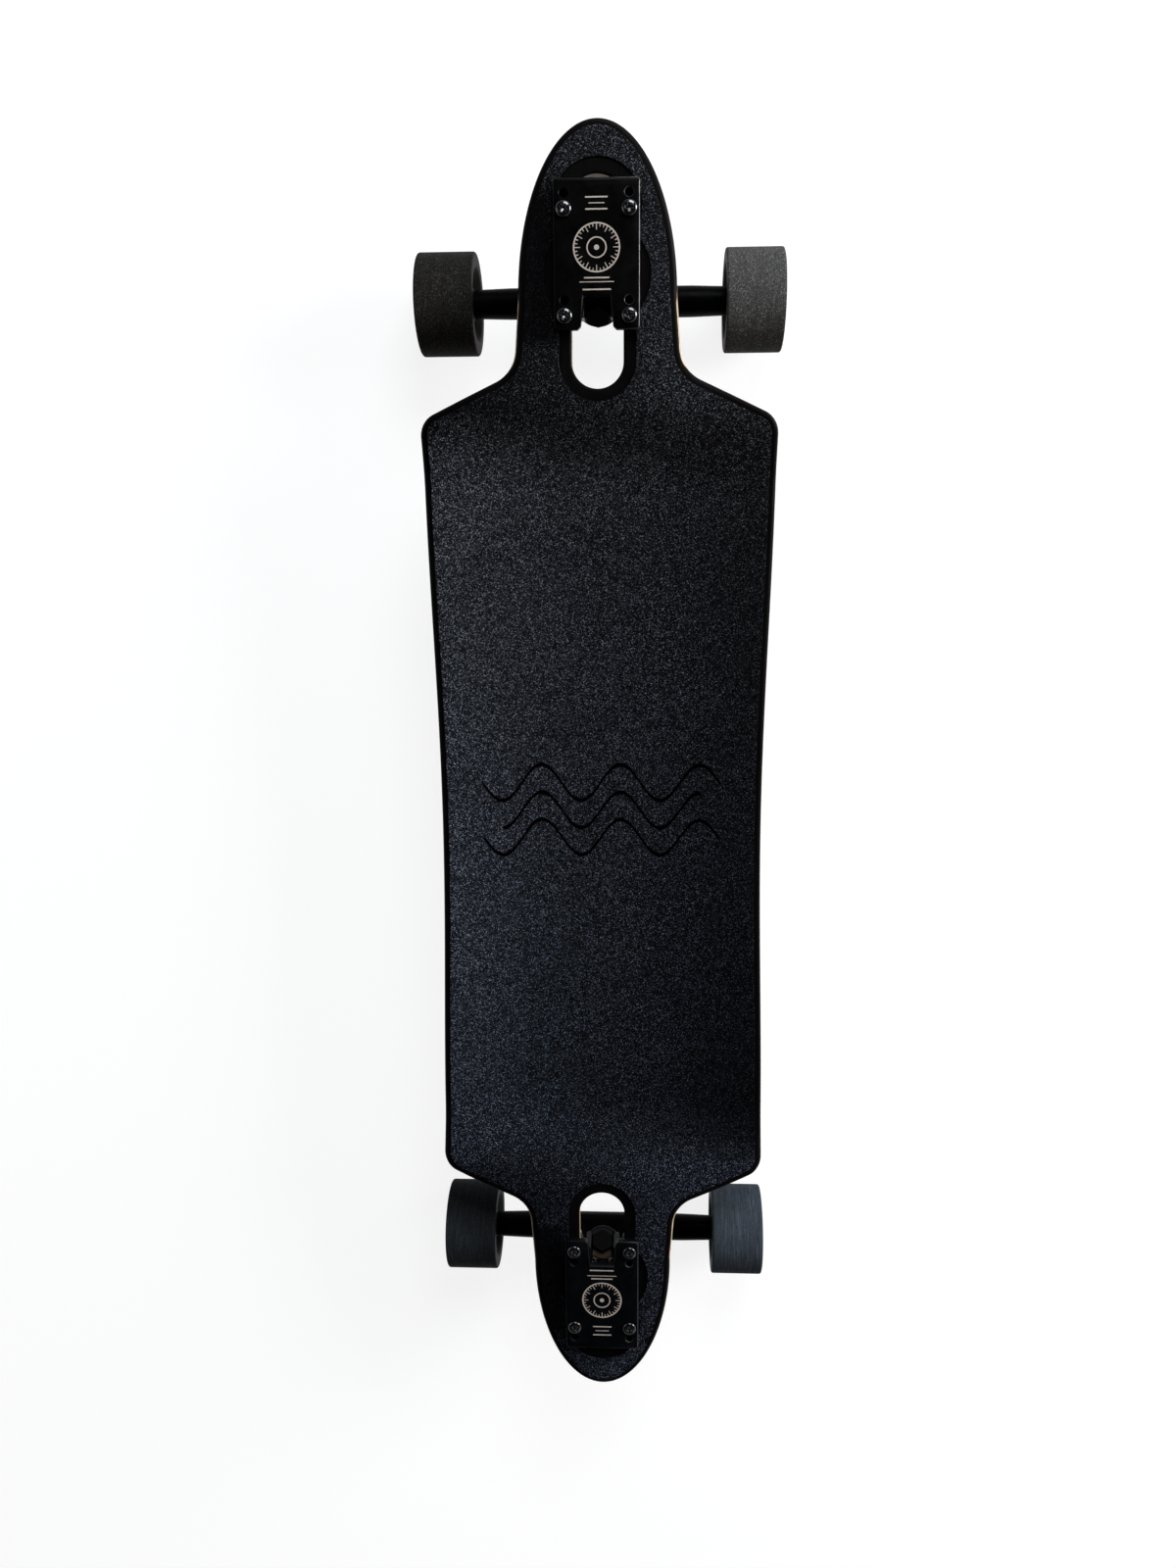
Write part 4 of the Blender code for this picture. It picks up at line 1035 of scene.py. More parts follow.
@dataclass(frozen=True)
class WornTyre(Finish):
    """Charcoal urethane tyre: a tread lapped by the road in streaks and grit, and plainer side faces."""

    body: Colour
    streaky: float
    radius: float = 0.0337
    streak_length: float = 0.022
    fineness: float = 3600.0
    grit: float = 2000.0
    dots: Stops = ((0.0, 0.30), (0.50, 0.75), (0.78, 1.30), (0.92, 2.40), (1.0, 5.00))
    lines: Stops = ((0.0, 0.72), (0.50, 0.95), (0.78, 1.25), (0.92, 1.60), (1.0, 2.20))

    def shared(self, share: float) -> Colour:
        """The body colour made darker or lighter."""
        return tuple(part * share for part in self.body)

    def dress(self, sketch: Sketch) -> None:
        """Lay out the nodes. The places run along the axle as Z, with the wheel's middle at 0.

        Args:
            sketch: the material's nodes.
        """
        place = sketch.place()
        tread = place.off_axis().span(self.radius - 0.0022, self.radius - 0.0002)
        streak = place.stretched(self.streak_length, self.streak_length, 1.0).cells(self.fineness).parts()[0]
        grit = place.cells(self.grit).parts()[0]
        patchy = place.stretched(0.15, 0.15, 1.0).noise(160.0, 4.0, 0.7).span(0.3, 0.7, -0.06, 0.06)
        dotted, lined = (
            (each + patchy).ramp([(at, self.shared(share)) for at, share in stops])
            for each, stops in ((grit, self.dots), (streak, self.lines))
        )
        scuff = place.stretched(0.3, 0.3, 1.0).noise(420.0, 5.0, 0.8).span(0.60, 0.68) * 0.55
        lap = sketch.blend(scuff, sketch.blend(self.streaky, dotted, lined), self.shared(0.25))
        cloud = place.noise(95.0, 4.0, 0.6).span(0.4, 0.75, 0.0, 0.6)
        side = sketch.blend(cloud, self.shared(0.70), self.shared(0.35))
        sketch.shade(
            Base_Color=sketch.blend(tread, side, lap),
            Roughness=tread.span(0.0, 1.0, 0.50, 0.72),
            Specular_IOR_Level=tread.span(0.0, 1.0, 0.02, 0.04),
            Normal=((streak + grit) * tread).bump(0.00004, 0.6),
        )


@dataclass(frozen=True)
class SealedBearing(Finish):
    """Ball bearing from outside: steel races round a dark rubber seal."""

    name: str = "sealed_bearing"
    steel: Colour = (0.58, 0.58, 0.59)
    dull: Colour = (0.36, 0.34, 0.32)
    seal: Colour = (0.018, 0.018, 0.020)
    inner_race: float = 0.0062
    outer_race: float = 0.0096

    def dress(self, sketch: Sketch) -> None:
        """Lay out the nodes. The places run along the axle as Z.

        Args:
            sketch: the material's nodes.
        """
        place = sketch.place()
        out = place.off_axis()
        sealed = out.span(self.inner_race, self.inner_race + 0.0001)
        sealed = sealed * out.fall(self.outer_race - 0.0001, self.outer_race)
        smear = place.noise(600.0, 4.0, 0.6)
        metal = sketch.blend(smear.span(0.4, 0.8), self.steel, self.dull)
        sketch.shade(
            Base_Color=sketch.blend(sealed, metal, self.seal),
            Metallic=sealed.fall(0.0, 1.0),
            Roughness=sealed.span(0.0, 1.0, 0.24, 0.5),
            Normal=smear.bump(0.00003, 0.4),
        )


@dataclass(frozen=True)
class PaleMark(Finish):
    """Pale laser mark on the black plate, a little uneven."""

    name: str = "pale_mark"
    mark: Colour = (0.46, 0.40, 0.35)
    thin: Colour = (0.22, 0.19, 0.165)

    def dress(self, sketch: Sketch) -> None:
        """Lay out the nodes.

        Args:
            sketch: the material's nodes.
        """
        patch = sketch.place().noise(1500.0, 4.0, 0.7)
        sketch.shade(
            Base_Color=sketch.blend(patch.span(0.42, 0.8), self.mark, self.thin),
            Roughness=0.62,
            Specular_IOR_Level=0.3,
            Normal=patch.bump(0.00002, 0.4),
        )


@dataclass(frozen=True)
class FloorPaint(Finish):
    """Pale grey paint that rays from the camera, a gloss or a glass see near white."""

    name: str = "floor_paint"
    paint: Colour = (0.24, 0.24, 0.24)
    cloud: Colour = (0.235, 0.235, 0.237)
    glow: float = 0.84

    def dress(self, sketch: Sketch) -> None:
        """Lay out the nodes.

        Args:
            sketch: the material's nodes.
        """
        rays = (sketch.node("LightPath", f"Is {kind} Ray") for kind in ("Camera", "Glossy", "Transmission"))
        camera, glossy, through = rays
        sketch.shade(
            Base_Color=sketch.blend(sketch.spot().noise(3.0, 3.0), self.paint, self.cloud),
            Roughness=0.9,
            Specular_IOR_Level=0.0,
            Emission_Color=(1.0, 1.0, 1.0),
            Emission_Strength=camera.maths("MAXIMUM", glossy).maths("MAXIMUM", through) * self.glow,
        )


# Deck and grip


@dataclass(frozen=True)
class BoardPlan:
    """Plan and bend of the board. The nose and the tail are alike."""

    length: float = 0.9000
    platform: float = 0.2366
    waist: float = 0.2268
    neck: float = 0.1024
    tip: float = 0.1050
    flare: float = 0.0035
    corner_from_tip: float = 0.1812
    shoulder: float = radians(25.0)
    corner_round: float = 0.0160
    neck_round: float = 0.0230
    drop: float = 0.0200
    ramp_from_tip: float = 0.1650
    ramp: float = 0.0600
    concave: float = 0.0070
    flat: float = 0.0700
    power: float = 1.6
    slot_half: float = 0.0168
    bulge: float = 0.0208
    slot_inboard_from_tip: float = 0.1622
    slot_outboard_from_tip: float = 0.0326
    bulge_from_tip: float = 0.0930
    grip_margin: float = 0.0082
    grip_bulge: float = 0.0345
    grip_cap: float = 0.0286
    grip_cap_margin: float = 0.0098

    def edge(self, inset: float) -> Array:
        """Right-hand edge from the tail tip to the nose tip.

        The side swells as (1 - cos) from the waist to the shoulder's round. A straight shoulder, a
        hollow round and the neck follow, and the nose is a quarter of an ellipse.

        Args:
            inset: how far inside the real edge it runs.

        Returns:
            (n, 2) points, y rising.
        """
        tip, half, neck, waist = self.length / 2, self.platform / 2, self.neck / 2, self.waist / 2
        bend = tan((pi / 2 - self.shoulder) / 2)
        corner = np.array([half - inset, tip - self.corner_from_tip - inset * bend])
        at_corner = neck + self.flare - inset
        armpit = np.array([at_corner, corner[1] + (corner[0] - at_corner) * tan(self.shoulder)])
        neck_point = np.array([neck - inset, tip - self.tip])
        side_end = corner[1] - self.corner_round * bend
        share = np.linspace(0.0, 1.0, 40, endpoint=False)
        swell = waist + (half - waist) * (1.0 - np.cos(pi * share)) / 2
        side = np.stack([swell - inset, side_end * share], axis=1)
        outer = fillet([corner[0], 0.0], corner, armpit, self.corner_round - inset, 14)
        inner = fillet(corner, armpit, neck_point, self.neck_round + inset, 14)
        between = np.linspace(0.0, 1.0, 10)[1:-1, None]
        shoulder = outer[-1] + (inner[0] - outer[-1]) * between
        run = inner[-1] + (neck_point - inner[-1]) * between
        angle = np.linspace(0.0, pi / 2, 49)
        ellipse = np.array([neck_point[0], self.tip - inset])
        nose = (0.0, neck_point[1]) + ellipse * np.stack([np.cos(angle), np.sin(angle)], axis=1)
        nose[-1, 0] = 0.0
        quarter = np.concatenate([side, outer, shoulder, inner, run, nose])
        return np.concatenate([quarter[:0:-1] * (1.0, -1.0), quarter])

    def opening(self, bulge: float, cap: float, margin: float = 0.0, cap_margin: float = 0.0) -> Array:
        """Right-hand side of the nose opening, from its inboard end to its outboard end.

        Args:
            bulge: radius of the round bulge for the bushings.
            cap: radius of the round outboard end.
            margin: how far outside the deck's own opening it runs.
            cap_margin: how far outboard of the deck's own opening it ends.

        Returns:
            (n, 2) points, y rising: a round end, the bulge, and the cap.
        """
        tip = self.length / 2
        half = self.slot_half + margin
        inboard = tip - self.slot_inboard_from_tip - margin + half
        outboard = tip - self.slot_outboard_from_tip + cap_margin - cap
        meet, turn = acos(half / bulge), acos(half / cap)
        ends = arc((0.0, inboard), half, -pi / 2, 0.0, 22), arc((0.0, outboard), cap, -turn, pi / 2, 26)
        middle = arc((0.0, tip - self.bulge_from_tip), bulge, -meet, meet, 30)
        made = np.concatenate([ends[0], middle, ends[1]])
        made[[0, -1], 0] = 0.0
        return made

    def bend(self, x: Array, y: Array) -> Array:
        """Height against the necks: smooth ramps down to the platform, whose sides curl up.

        The concave rises as concave * (share of the way out past the flat strip) ^ power.

        Args:
            x: places across.
            y: places along.

        Returns:
            The heights.
        """
        start = self.length / 2 - self.ramp_from_tip - self.ramp
        up = ease((np.abs(y) - start) / self.ramp)
        flat = self.flat / 2
        out = np.maximum(np.abs(x) - flat, 0.0) / (self.platform / 2 - flat)
        return (1.0 - up) * (self.concave * out**self.power - self.drop)


def outward(path: Array) -> Array:
    """Unit normals on the right of a path that runs towards +Y.

    Args:
        path: (n, 2) points.

    Returns:
        (n, 2) normals: the tangent (tx, ty) turned to (ty, -tx).
    """
    tangent = np.gradient(path, axis=0)
    normal = np.stack([tangent[:, 1], -tangent[:, 0]], axis=1)
    normal[path[:, 0] == 0.0, 0] = 0.0
    return normal / np.linalg.norm(normal, axis=1)[:, None]


def along_rows(rows: Array, path: Array, values: Array) -> Array:
    """Values of a path of rising y, read at given places along the board."""
    return np.stack([np.interp(rows, path[:, 1], values[:, k]) for k in (0, 1)], axis=1)


@dataclass
class BentSheet:
    """A sheet with the board's plan: rows across it run from an opening or the middle to its edge."""

    plan: BoardPlan
    top: float
    thickness: float
    inset: float
    opening: Array
    edge_round: float
    edge_drop: float
    slot_round: float
    columns: int = 15
    turns: int = 6

    def rim(self, reach: float, drop: float) -> Array:
        """Half-round edge in section, as (inset, depth) from the top face to the bottom face.

        Args:
            reach: how far in the round starts.
            drop: how deep it reaches before the wall turns upright.

        Returns:
            (n, 2) rows.
        """
        angle = np.linspace(0.0, pi / 2, self.turns + 1)
        upper = np.stack([reach * (1.0 - np.sin(angle)), drop * (1.0 - np.cos(angle))], axis=1)
        lower = upper[::-1] * (1.0, -1.0) + (0.0, self.thickness)
        wall = np.linspace(upper[-1], lower[0], 6)[1:-1]
        return np.concatenate([upper, wall, lower])

    def shell(self) -> Shell:
        """Work out the whole sheet.

        The right half is one grid: each row runs over the top from its inner side to the edge's
        round, down the rim, back underneath, and up the opening's wall where it has one. The left
        half is its mirror image. The bend then lifts every point.

        Returns:
            The shell, with places (x, y, depth).
        """
        edge, opening = self.plan.edge(self.inset), self.opening
        first, last = opening[0, 1], opening[-1, 1]
        rows = np.unique(np.round(np.concatenate([edge[:, 1], opening[:, 1], -opening[:, 1]]), 7))
        keep = np.concatenate([[True], np.diff(rows) > 2e-5])
        rows = rows[keep | np.isin(np.round(np.abs(rows), 7), np.round([first, last], 7))]
        far = np.abs(rows)
        end = np.sign(rows)[:, None] * (0.0, 1.0) + (1.0, 0.0)
        open_row = (far > first - 1e-6) & (far < last + 1e-6)

        outer, out = along_rows(rows, edge, edge), along_rows(rows, edge, outward(edge))
        inner, into = (along_rows(far, opening, values) * end for values in (opening, outward(opening)))
        tip = self.plan.length / 2 - self.inset
        marks = np.array([first, last, tip])
        pulled = marks + (-self.slot_round, self.slot_round, -self.edge_round)
        middle = np.interp(rows, [*-marks[::-1], *marks], [*-pulled[::-1], *pulled])
        closed = np.stack([0 * rows, middle], axis=1)
        bank = np.where(open_row[:, None], inner + into * self.slot_round, closed)
        brink = outer - out * self.edge_round

        share = np.linspace(0.0, 1.0, self.columns + 1)[None, :, None]
        face = bank[:, None] + (brink - bank)[:, None] * share
        rim = self.rim(self.edge_round, self.edge_drop)
        wall = self.rim(self.slot_round, self.slot_round)[::-1]
        around = outer[:, None] - out[:, None] * rim[None, :, :1]
        inside = inner[:, None] + into[:, None] * wall[None, :, :1]
        plan = np.concatenate([face, around, face[:, ::-1], inside], axis=1)
        level = np.zeros(self.columns + 1)
        depth = np.concatenate([level, rim[:, 1], level + self.thickness, wall[:, 1]])
        place = np.concatenate([plan, np.broadcast_to(depth[None, :, None], (*plan.shape[:2], 1))], axis=2)
        lift = self.top - place[..., 2] + self.plan.bend(place[..., 0], place[..., 1])
        grid = np.stack([place[..., 0], place[..., 1], lift], axis=-1)

        faces = grid_faces(*plan.shape[:2]).reshape(len(rows) - 1, -1, 4)
        walled = open_row[:-1] & open_row[1:]
        skin, sides = faces[:, : -len(wall)], faces[walled, -len(wall) :]
        faces = np.concatenate([skin.reshape(-1, 4), sides.reshape(-1, 4)])
        right = Shell(grid.reshape(-1, 3), faces, place.reshape(-1, 3))
        flip = np.array([-1.0, 1.0, 1.0])
        return right.joined(Shell(right.points * flip, faces[:, ::-1], right.local * flip))


@dataclass
class Board:
    """Deck with rounded edges and, inset from its edge, the grip sheet with wider openings."""

    top: float = 0.0912864
    thickness: float = 0.0120
    rounds: tuple[float, float, float] = (0.0028, 0.0036, 0.0014)
    grip_gap: float = 0.0003
    grip_thickness: float = 0.0009
    grip_inset: float = 0.0048
    grip_rounds: tuple[float, float, float] = (0.0002, 0.0002, 0.0002)
    plan: BoardPlan = BoardPlan()

    def build(self) -> None:
        """Add both pieces."""
        plan, top = self.plan, self.top + self.grip_gap + self.grip_thickness
        slot = plan.opening(plan.bulge, plan.slot_half)
        wide = plan.opening(plan.grip_bulge, plan.grip_cap, plan.grip_margin, plan.grip_cap_margin)
        deck = BentSheet(plan, self.top, self.thickness, 0.0, slot, *self.rounds)
        grip = BentSheet(plan, top, self.grip_thickness, self.grip_inset, wide, *self.grip_rounds)
        wood, grit = StainedBoard().build(), Grit().build()
        add_piece("stained_deck", mesh_of("deck", deck.shell()), wood, "board", "deck")
        add_piece("grit_sheet", mesh_of("grip", grip.shell()), grit, "board", "grip_sheet")
        log.info("board: deck and grip sheet")


# Trucks


@dataclass(frozen=True)
class TruckSizes:
    """Sizes of one truck, and the places along its kingpin and its axle that follow from them."""

    gap: float = 0.0003
    bolt_centre: float = 0.3632
    plate_top: float = 0.0987864
    deck_bottom: float = 0.0792864
    steer: float = radians(48.0)
    axle_drop: float = 0.0650
    axle_inset: float = 0.0135
    setback: float = 0.0239
    rake: float = 0.0051
    bolt_across: float = 0.0413
    bolt_along: float = 0.0635
    spare_step: float = 0.0095
    ring_web: float = 0.0070
    ring_rim: float = 0.0027
    pivot_from_ring: float = 0.0330
    cup_radius: float = 0.0091
    cup_length: float = 0.0114
    bushing: float = 0.0150
    washer: float = 0.0018
    kingpin_wall: float = 0.0123
    kingpin_head: float = 0.0054
    kingpin_flats: float = 0.0143
    kingpin_radius: float = 0.00475
    kingpin_nut: float = 0.0080
    kingpin_tail: float = 0.0020
    hanger_half: float = 0.0900
    axle_washer: float = 0.0010
    bearing: float = 0.0070
    spacer: float = 0.0074
    axle_nut: float = 0.0065
    axle_tail: float = 0.0008
    core_offset: float = 0.0014

    # Places along the kingpin, from the middle of the ring
    bushing_start: float = ring_web / 2 + gap
    bushing_end: float = bushing_start + bushing
    washer_start: float = bushing_end + gap
    washer_end: float = washer_start + washer
    boss_face: float = washer_end + gap
    head_seat: float = boss_face + kingpin_wall
    head_top: float = head_seat + gap + kingpin_head
    nut_end: float = washer_end + gap + kingpin_nut

    # Places along the axle, from the middle of the truck
    bearing_in: float = hanger_half + axle_washer + 2 * gap
    bearing_out: float = bearing_in + bearing + spacer + 2 * gap
    wheel_middle: float = (bearing_in + bearing_out + bearing) / 2 + core_offset
    axle_nut_start: float = bearing_out + bearing + axle_washer + 2 * gap
    axle_end: float = axle_nut_start + axle_nut + axle_tail

    def truck(self, end: End) -> Array:
        """Frame in the middle of the four bolts, on top of the plate, +Y outboard."""
        outboard = turned(2, 0.0 if end is End.FRONT else pi)
        return shifted(0.0, end.value * self.bolt_centre, self.plate_top) @ outboard

    def steering(self) -> Array:
        """Steering frame in the truck's: +Y is the pivot axis, +Z runs up the kingpin."""
        on_axle = shifted(0.0, -self.axle_inset, -self.axle_drop) @ turned(0, self.steer)
        return on_axle @ shifted(0.0, self.setback, self.rake)

    def axle(self) -> Array:
        """Frame on the axle, in the steering frame."""
        return shifted(0.0, -self.setback, -self.rake)

    def bolts(self) -> list[tuple[float, float]]:
        """The four mounting bolts in the truck's frame, in the nodes' order."""
        across, along = self.bolt_across / 2, self.bolt_along / 2
        return [(side * across, row * along) for row in (-1, 1) for side in (-1, 1)]


@dataclass
class Baseplate:
    """Plate with its slots and holes, the kingpin's boss, the pivot's housing, a keel and two ribs."""

    sizes: TruckSizes
    length: float = 0.0902
    width: float = 0.0546
    thickness: float = 0.0060
    shift: float = 0.0049
    corner: float = 0.0024
    chamfer: float = 0.0007
    notch_depth: float = 0.0206
    notch: float = 0.0174
    notch_mouth: float = 0.0206
    notch_lip: float = 0.0022
    notch_edge: float = 0.0006
    hole: float = 0.0029
    sink: float = 0.00035
    drill: float = 0.012
    boss: float = 0.01275
    flange: float = 0.0145
    flange_height: float = 0.0040
    shank: float = 0.00505
    shank_low: float = -0.02
    shank_high: float = 0.09
    cup_clear: float = 0.03
    wall: float = 0.0040
    keel: float = 0.0060
    keel_width: float = 0.0100
    rib_depth: float = 0.0080
    rib_width: float = 0.0045
    rib_spacing: float = 0.0206
    rib_edge: float = 0.0006
    skirt: float = 0.0009
    step: float = 0.00015
    voxel: float = 0.00055
    smoothing: int = 5
    mark_height: float = 4e-5
    mark_lift: float = 1e-5
    dial: float = 0.0140
    dial_middle: float = 0.0090
    ticks: int = 36
    long_tick: float = 0.0036
    short_tick: float = 0.0017
    tick_half: float = 0.00026
    rings: tuple[tuple[float, float], ...] = ((0.0140, 0.0149), (0.0056, 0.0064), (0.0, 0.0016))
    rules: tuple[tuple[float, float, float], ...] = (
        (0.0385, 0.0070, 0.0009), (0.0350, 0.0050, 0.0006), (0.0315, 0.0070, 0.0009),
        (-0.0090, 0.0080, 0.0009), (-0.0115, 0.0110, 0.0005), (-0.0160, 0.0090, 0.0009),
    )

    def plate(self, inset: float, low: float, high: float) -> Shell:
        """Rounded rectangle of the plate with a fine chamfer above and below.

        Args:
            inset: how far inside the plate's outline it runs.
            low: its underside.
            high: its top.

        Returns:
            The shell.
        """
        half, reach, turn = self.width / 2 - inset, self.length / 2 - inset, self.corner
        spots = ((half, -reach), (half, reach), (-half, reach), (-half, -reach))
        corners = [
            arc((x - np.sign(x) * turn, self.shift + y - np.sign(y) * turn), turn, start, start + pi / 2, 8)
            for (x, y), start in zip(spots, (-pi / 2, 0.0, pi / 2, pi))
        ]
        edge = self.chamfer
        levels = (low, low + edge, high - edge, high - edge * 0.3, high)
        return carried(np.concatenate(corners), levels, (edge, 0.0, 0.0, edge * 0.35, edge))

    def notch_cut(self) -> Shell:
        """Prism that opens the plate over the kingpin, flared at its mouth and along its top edge.

        Returns:
            The shell, open above and below.
        """
        inner = self.shift - self.length / 2
        root, mouth, lip = self.notch / 2, self.notch_mouth / 2, self.notch_lip
        left = [(-root, inner + self.notch_depth), (-mouth, inner + lip)]
        left += [(-mouth - lip, inner), (-mouth - 3 * lip, inner - 2 * lip)]
        path = np.array(left + [(-x, y) for x, y in reversed(left)])
        reach, edge = 2 * self.thickness, self.notch_edge
        return carried(path, (-reach, -edge, 0.0, reach), (0.0, 0.0, -edge, -edge))

    def hole_cuts(self) -> Shell:
        """Eight drills, each with a fine countersink at the top.

        Returns:
            The closed shells as one.
        """
        sink, deep = self.sink, -self.drill
        rows = [(0.0, deep, 0), (self.hole, deep, 0), (self.hole, -sink, 0), (self.hole + 2 * sink, sink, 0)]
        drill = lathe([*rows, (0.0, sink, 0)], 48)
        spots = [(x, y + more) for x, y in self.sizes.bolts() for more in (0.0, self.sizes.spare_step)]
        drills = [drill.moved(shifted(x, y, 0.0)) for x, y in spots]
        return drills[0].joined(*drills[1:])

    def slid(self, shell: Shell, place: Array, height: float) -> Shell:
        """Move a shell into the truck's frame and slide what stands too high back along its axis.

        Args:
            shell: a turned shell about its Z.
            place: its place in the truck's frame.
            height: the level that no point may pass.

        Returns:
            The trimmed shell.
        """
        made = shell.moved(place)
        axis = place[:3, 2]
        over = np.maximum(made.points[:, 2] - height, 0.0)
        return Shell(made.points - np.outer(over / axis[2], axis), made.faces, made.local)

    def rib(self, outline: Sequence[tuple[float, float]], width: float, middle: float) -> Shell:
        """Upright plate from (outboard, up) points, its edges eased.

        Args:
            outline: the plate's outline, anticlockwise seen from the side.
            width: its thickness.
            middle: its place across the truck.

        Returns:
            The shell in the truck's frame.
        """
        edge, half = self.rib_edge, width / 2
        flat = carried(np.array(outline), (-half, edge - half, half - edge, half), (edge, 0.0, 0.0, edge))
        stand = np.eye(4)[[2, 0, 1, 3]]
        return flat.moved(shifted(middle) @ stand)

    def mesh(self) -> bpy.types.Mesh:
        """Join and cut the whole casting.

        Returns:
            The mesh, in the truck's frame.
        """
        size = self.sizes
        steer = size.steering()
        pivot = steer @ turned(0, -pi / 2)
        skin = self.thickness / 6
        top, neck, face = size.head_seat, size.boss_face + 2 * self.flange_height, size.boss_face
        rows = [(0.0, top, 0), (self.boss, top, 0.0008), (self.boss, neck, 0.004)]
        rows += [(self.flange, face + self.flange_height, 0.0015), (self.flange, face, 0.0008)]
        boss = lathe([*rows, (0.0, face, 0)], 72)
        bore, start = size.cup_radius + size.gap, size.pivot_from_ring
        stop = start + size.cup_length + 2 * size.gap
        shaft, end = bore + self.wall, stop + self.wall
        tube = lathe([(0.0, end, 0), (shaft, end, 0.0030), (shaft, start, 0.0008), (0.0, start, 0)], 72)
        foot = (steer @ (0.0, self.boss, face + self.flange_height, 1.0))[:3]
        tail = (steer @ (0.0, start, shaft, 1.0))[:3]
        lip = (steer @ (0.0, -self.boss * 2 / 3, top - skin, 1.0))[:3]
        under = skin - self.thickness
        wide, low = self.keel, -self.thickness - self.rib_depth
        keel = [(foot[1] - wide, under), (foot[1] - wide / 2, foot[2] + skin)]
        keel += [(foot[1] + skin, foot[2] + wide / 2), (tail[1] + wide / 2, tail[2] - skin)]
        keel.append((tail[1] + wide, under))
        rib = [(lip[1] - skin, under), (lip[1], lip[2]), (foot[1] - wide, foot[2] - skin), (foot[1], low)]
        rib += [(tail[1] - wide / 2, low + self.rib_depth * 2 / 3), (tail[1] + wide, low)]
        rib.append((tail[1] + 3 * wide, under))
        ribs = [self.rib(rib, self.rib_width, side * self.rib_spacing / 2) for side in (-1, 1)]
        shank = cylinder(self.shank, self.shank_low, self.shank_high, 48)
        deep = start - self.cup_clear
        cup = lathe([(0.0, deep, 0), (bore, deep, 0), (bore, stop, 0.001), (0.0, stop, 0)], 72)
        stands = [boss.moved(steer), self.slid(tube, pivot, -skin), self.rib(keel, self.keel_width, 0.0)]
        bores = [shank.moved(steer), cup.moved(pivot)]
        through = [self.notch_cut(), self.hole_cuts(), *bores]
        flat = cut_out(self.plate(0.0, self.skirt - self.thickness, 0.0), through)
        slab = cut_out(self.plate(self.step, -self.thickness, -skin), through)
        rough = [slab, *(cut_out(shell, bores) for shell in (*stands, *ribs))]
        return cast(rough, self.voxel, self.smoothing, flat)

    def marks(self) -> Shell:
        """Plain angle scale on the plate: a ring with ticks inside it, a dot, and short rules.

        Each tick is a thin bar from one radius to the ring, every third one longer.

        Returns:
            The shell, in the truck's frame.
        """
        top = self.mark_height
        dial, *round_ = (
            lathe([(near, 0.0, 0), (far, 0.0, 0), (far, top, 0), (near, top, 0)], 96, closed=near > 0.0)
            for near, far in self.rings
        )
        reach = np.where(np.arange(self.ticks) % 3 == 0, self.long_tick, self.short_tick)
        turns = zip(reach, whole_turn(self.ticks))
        ticks = [self.bar(self.dial - long, self.dial, self.tick_half, turn) for long, turn in turns]
        dial = dial.joined(*round_, *ticks).moved(shifted(0.0, self.dial_middle, 0.0))
        rules = [self.bar(-half, half, thick / 2, 0.0).moved(shifted(y=y)) for y, half, thick in self.rules]
        return dial.joined(*rules).moved(shifted(z=self.mark_lift)).rooted()

    def bar(self, start: float, end: float, half: float, angle: float) -> Shell:
        """Flat bar from start to end along its own X, then turned by an angle about Z."""
        path = np.array([(start, -half), (end, -half), (end, half), (start, half)])
        return carried(path, (0.0, self.mark_height), (0.0, 0.0)).moved(turned(2, angle))


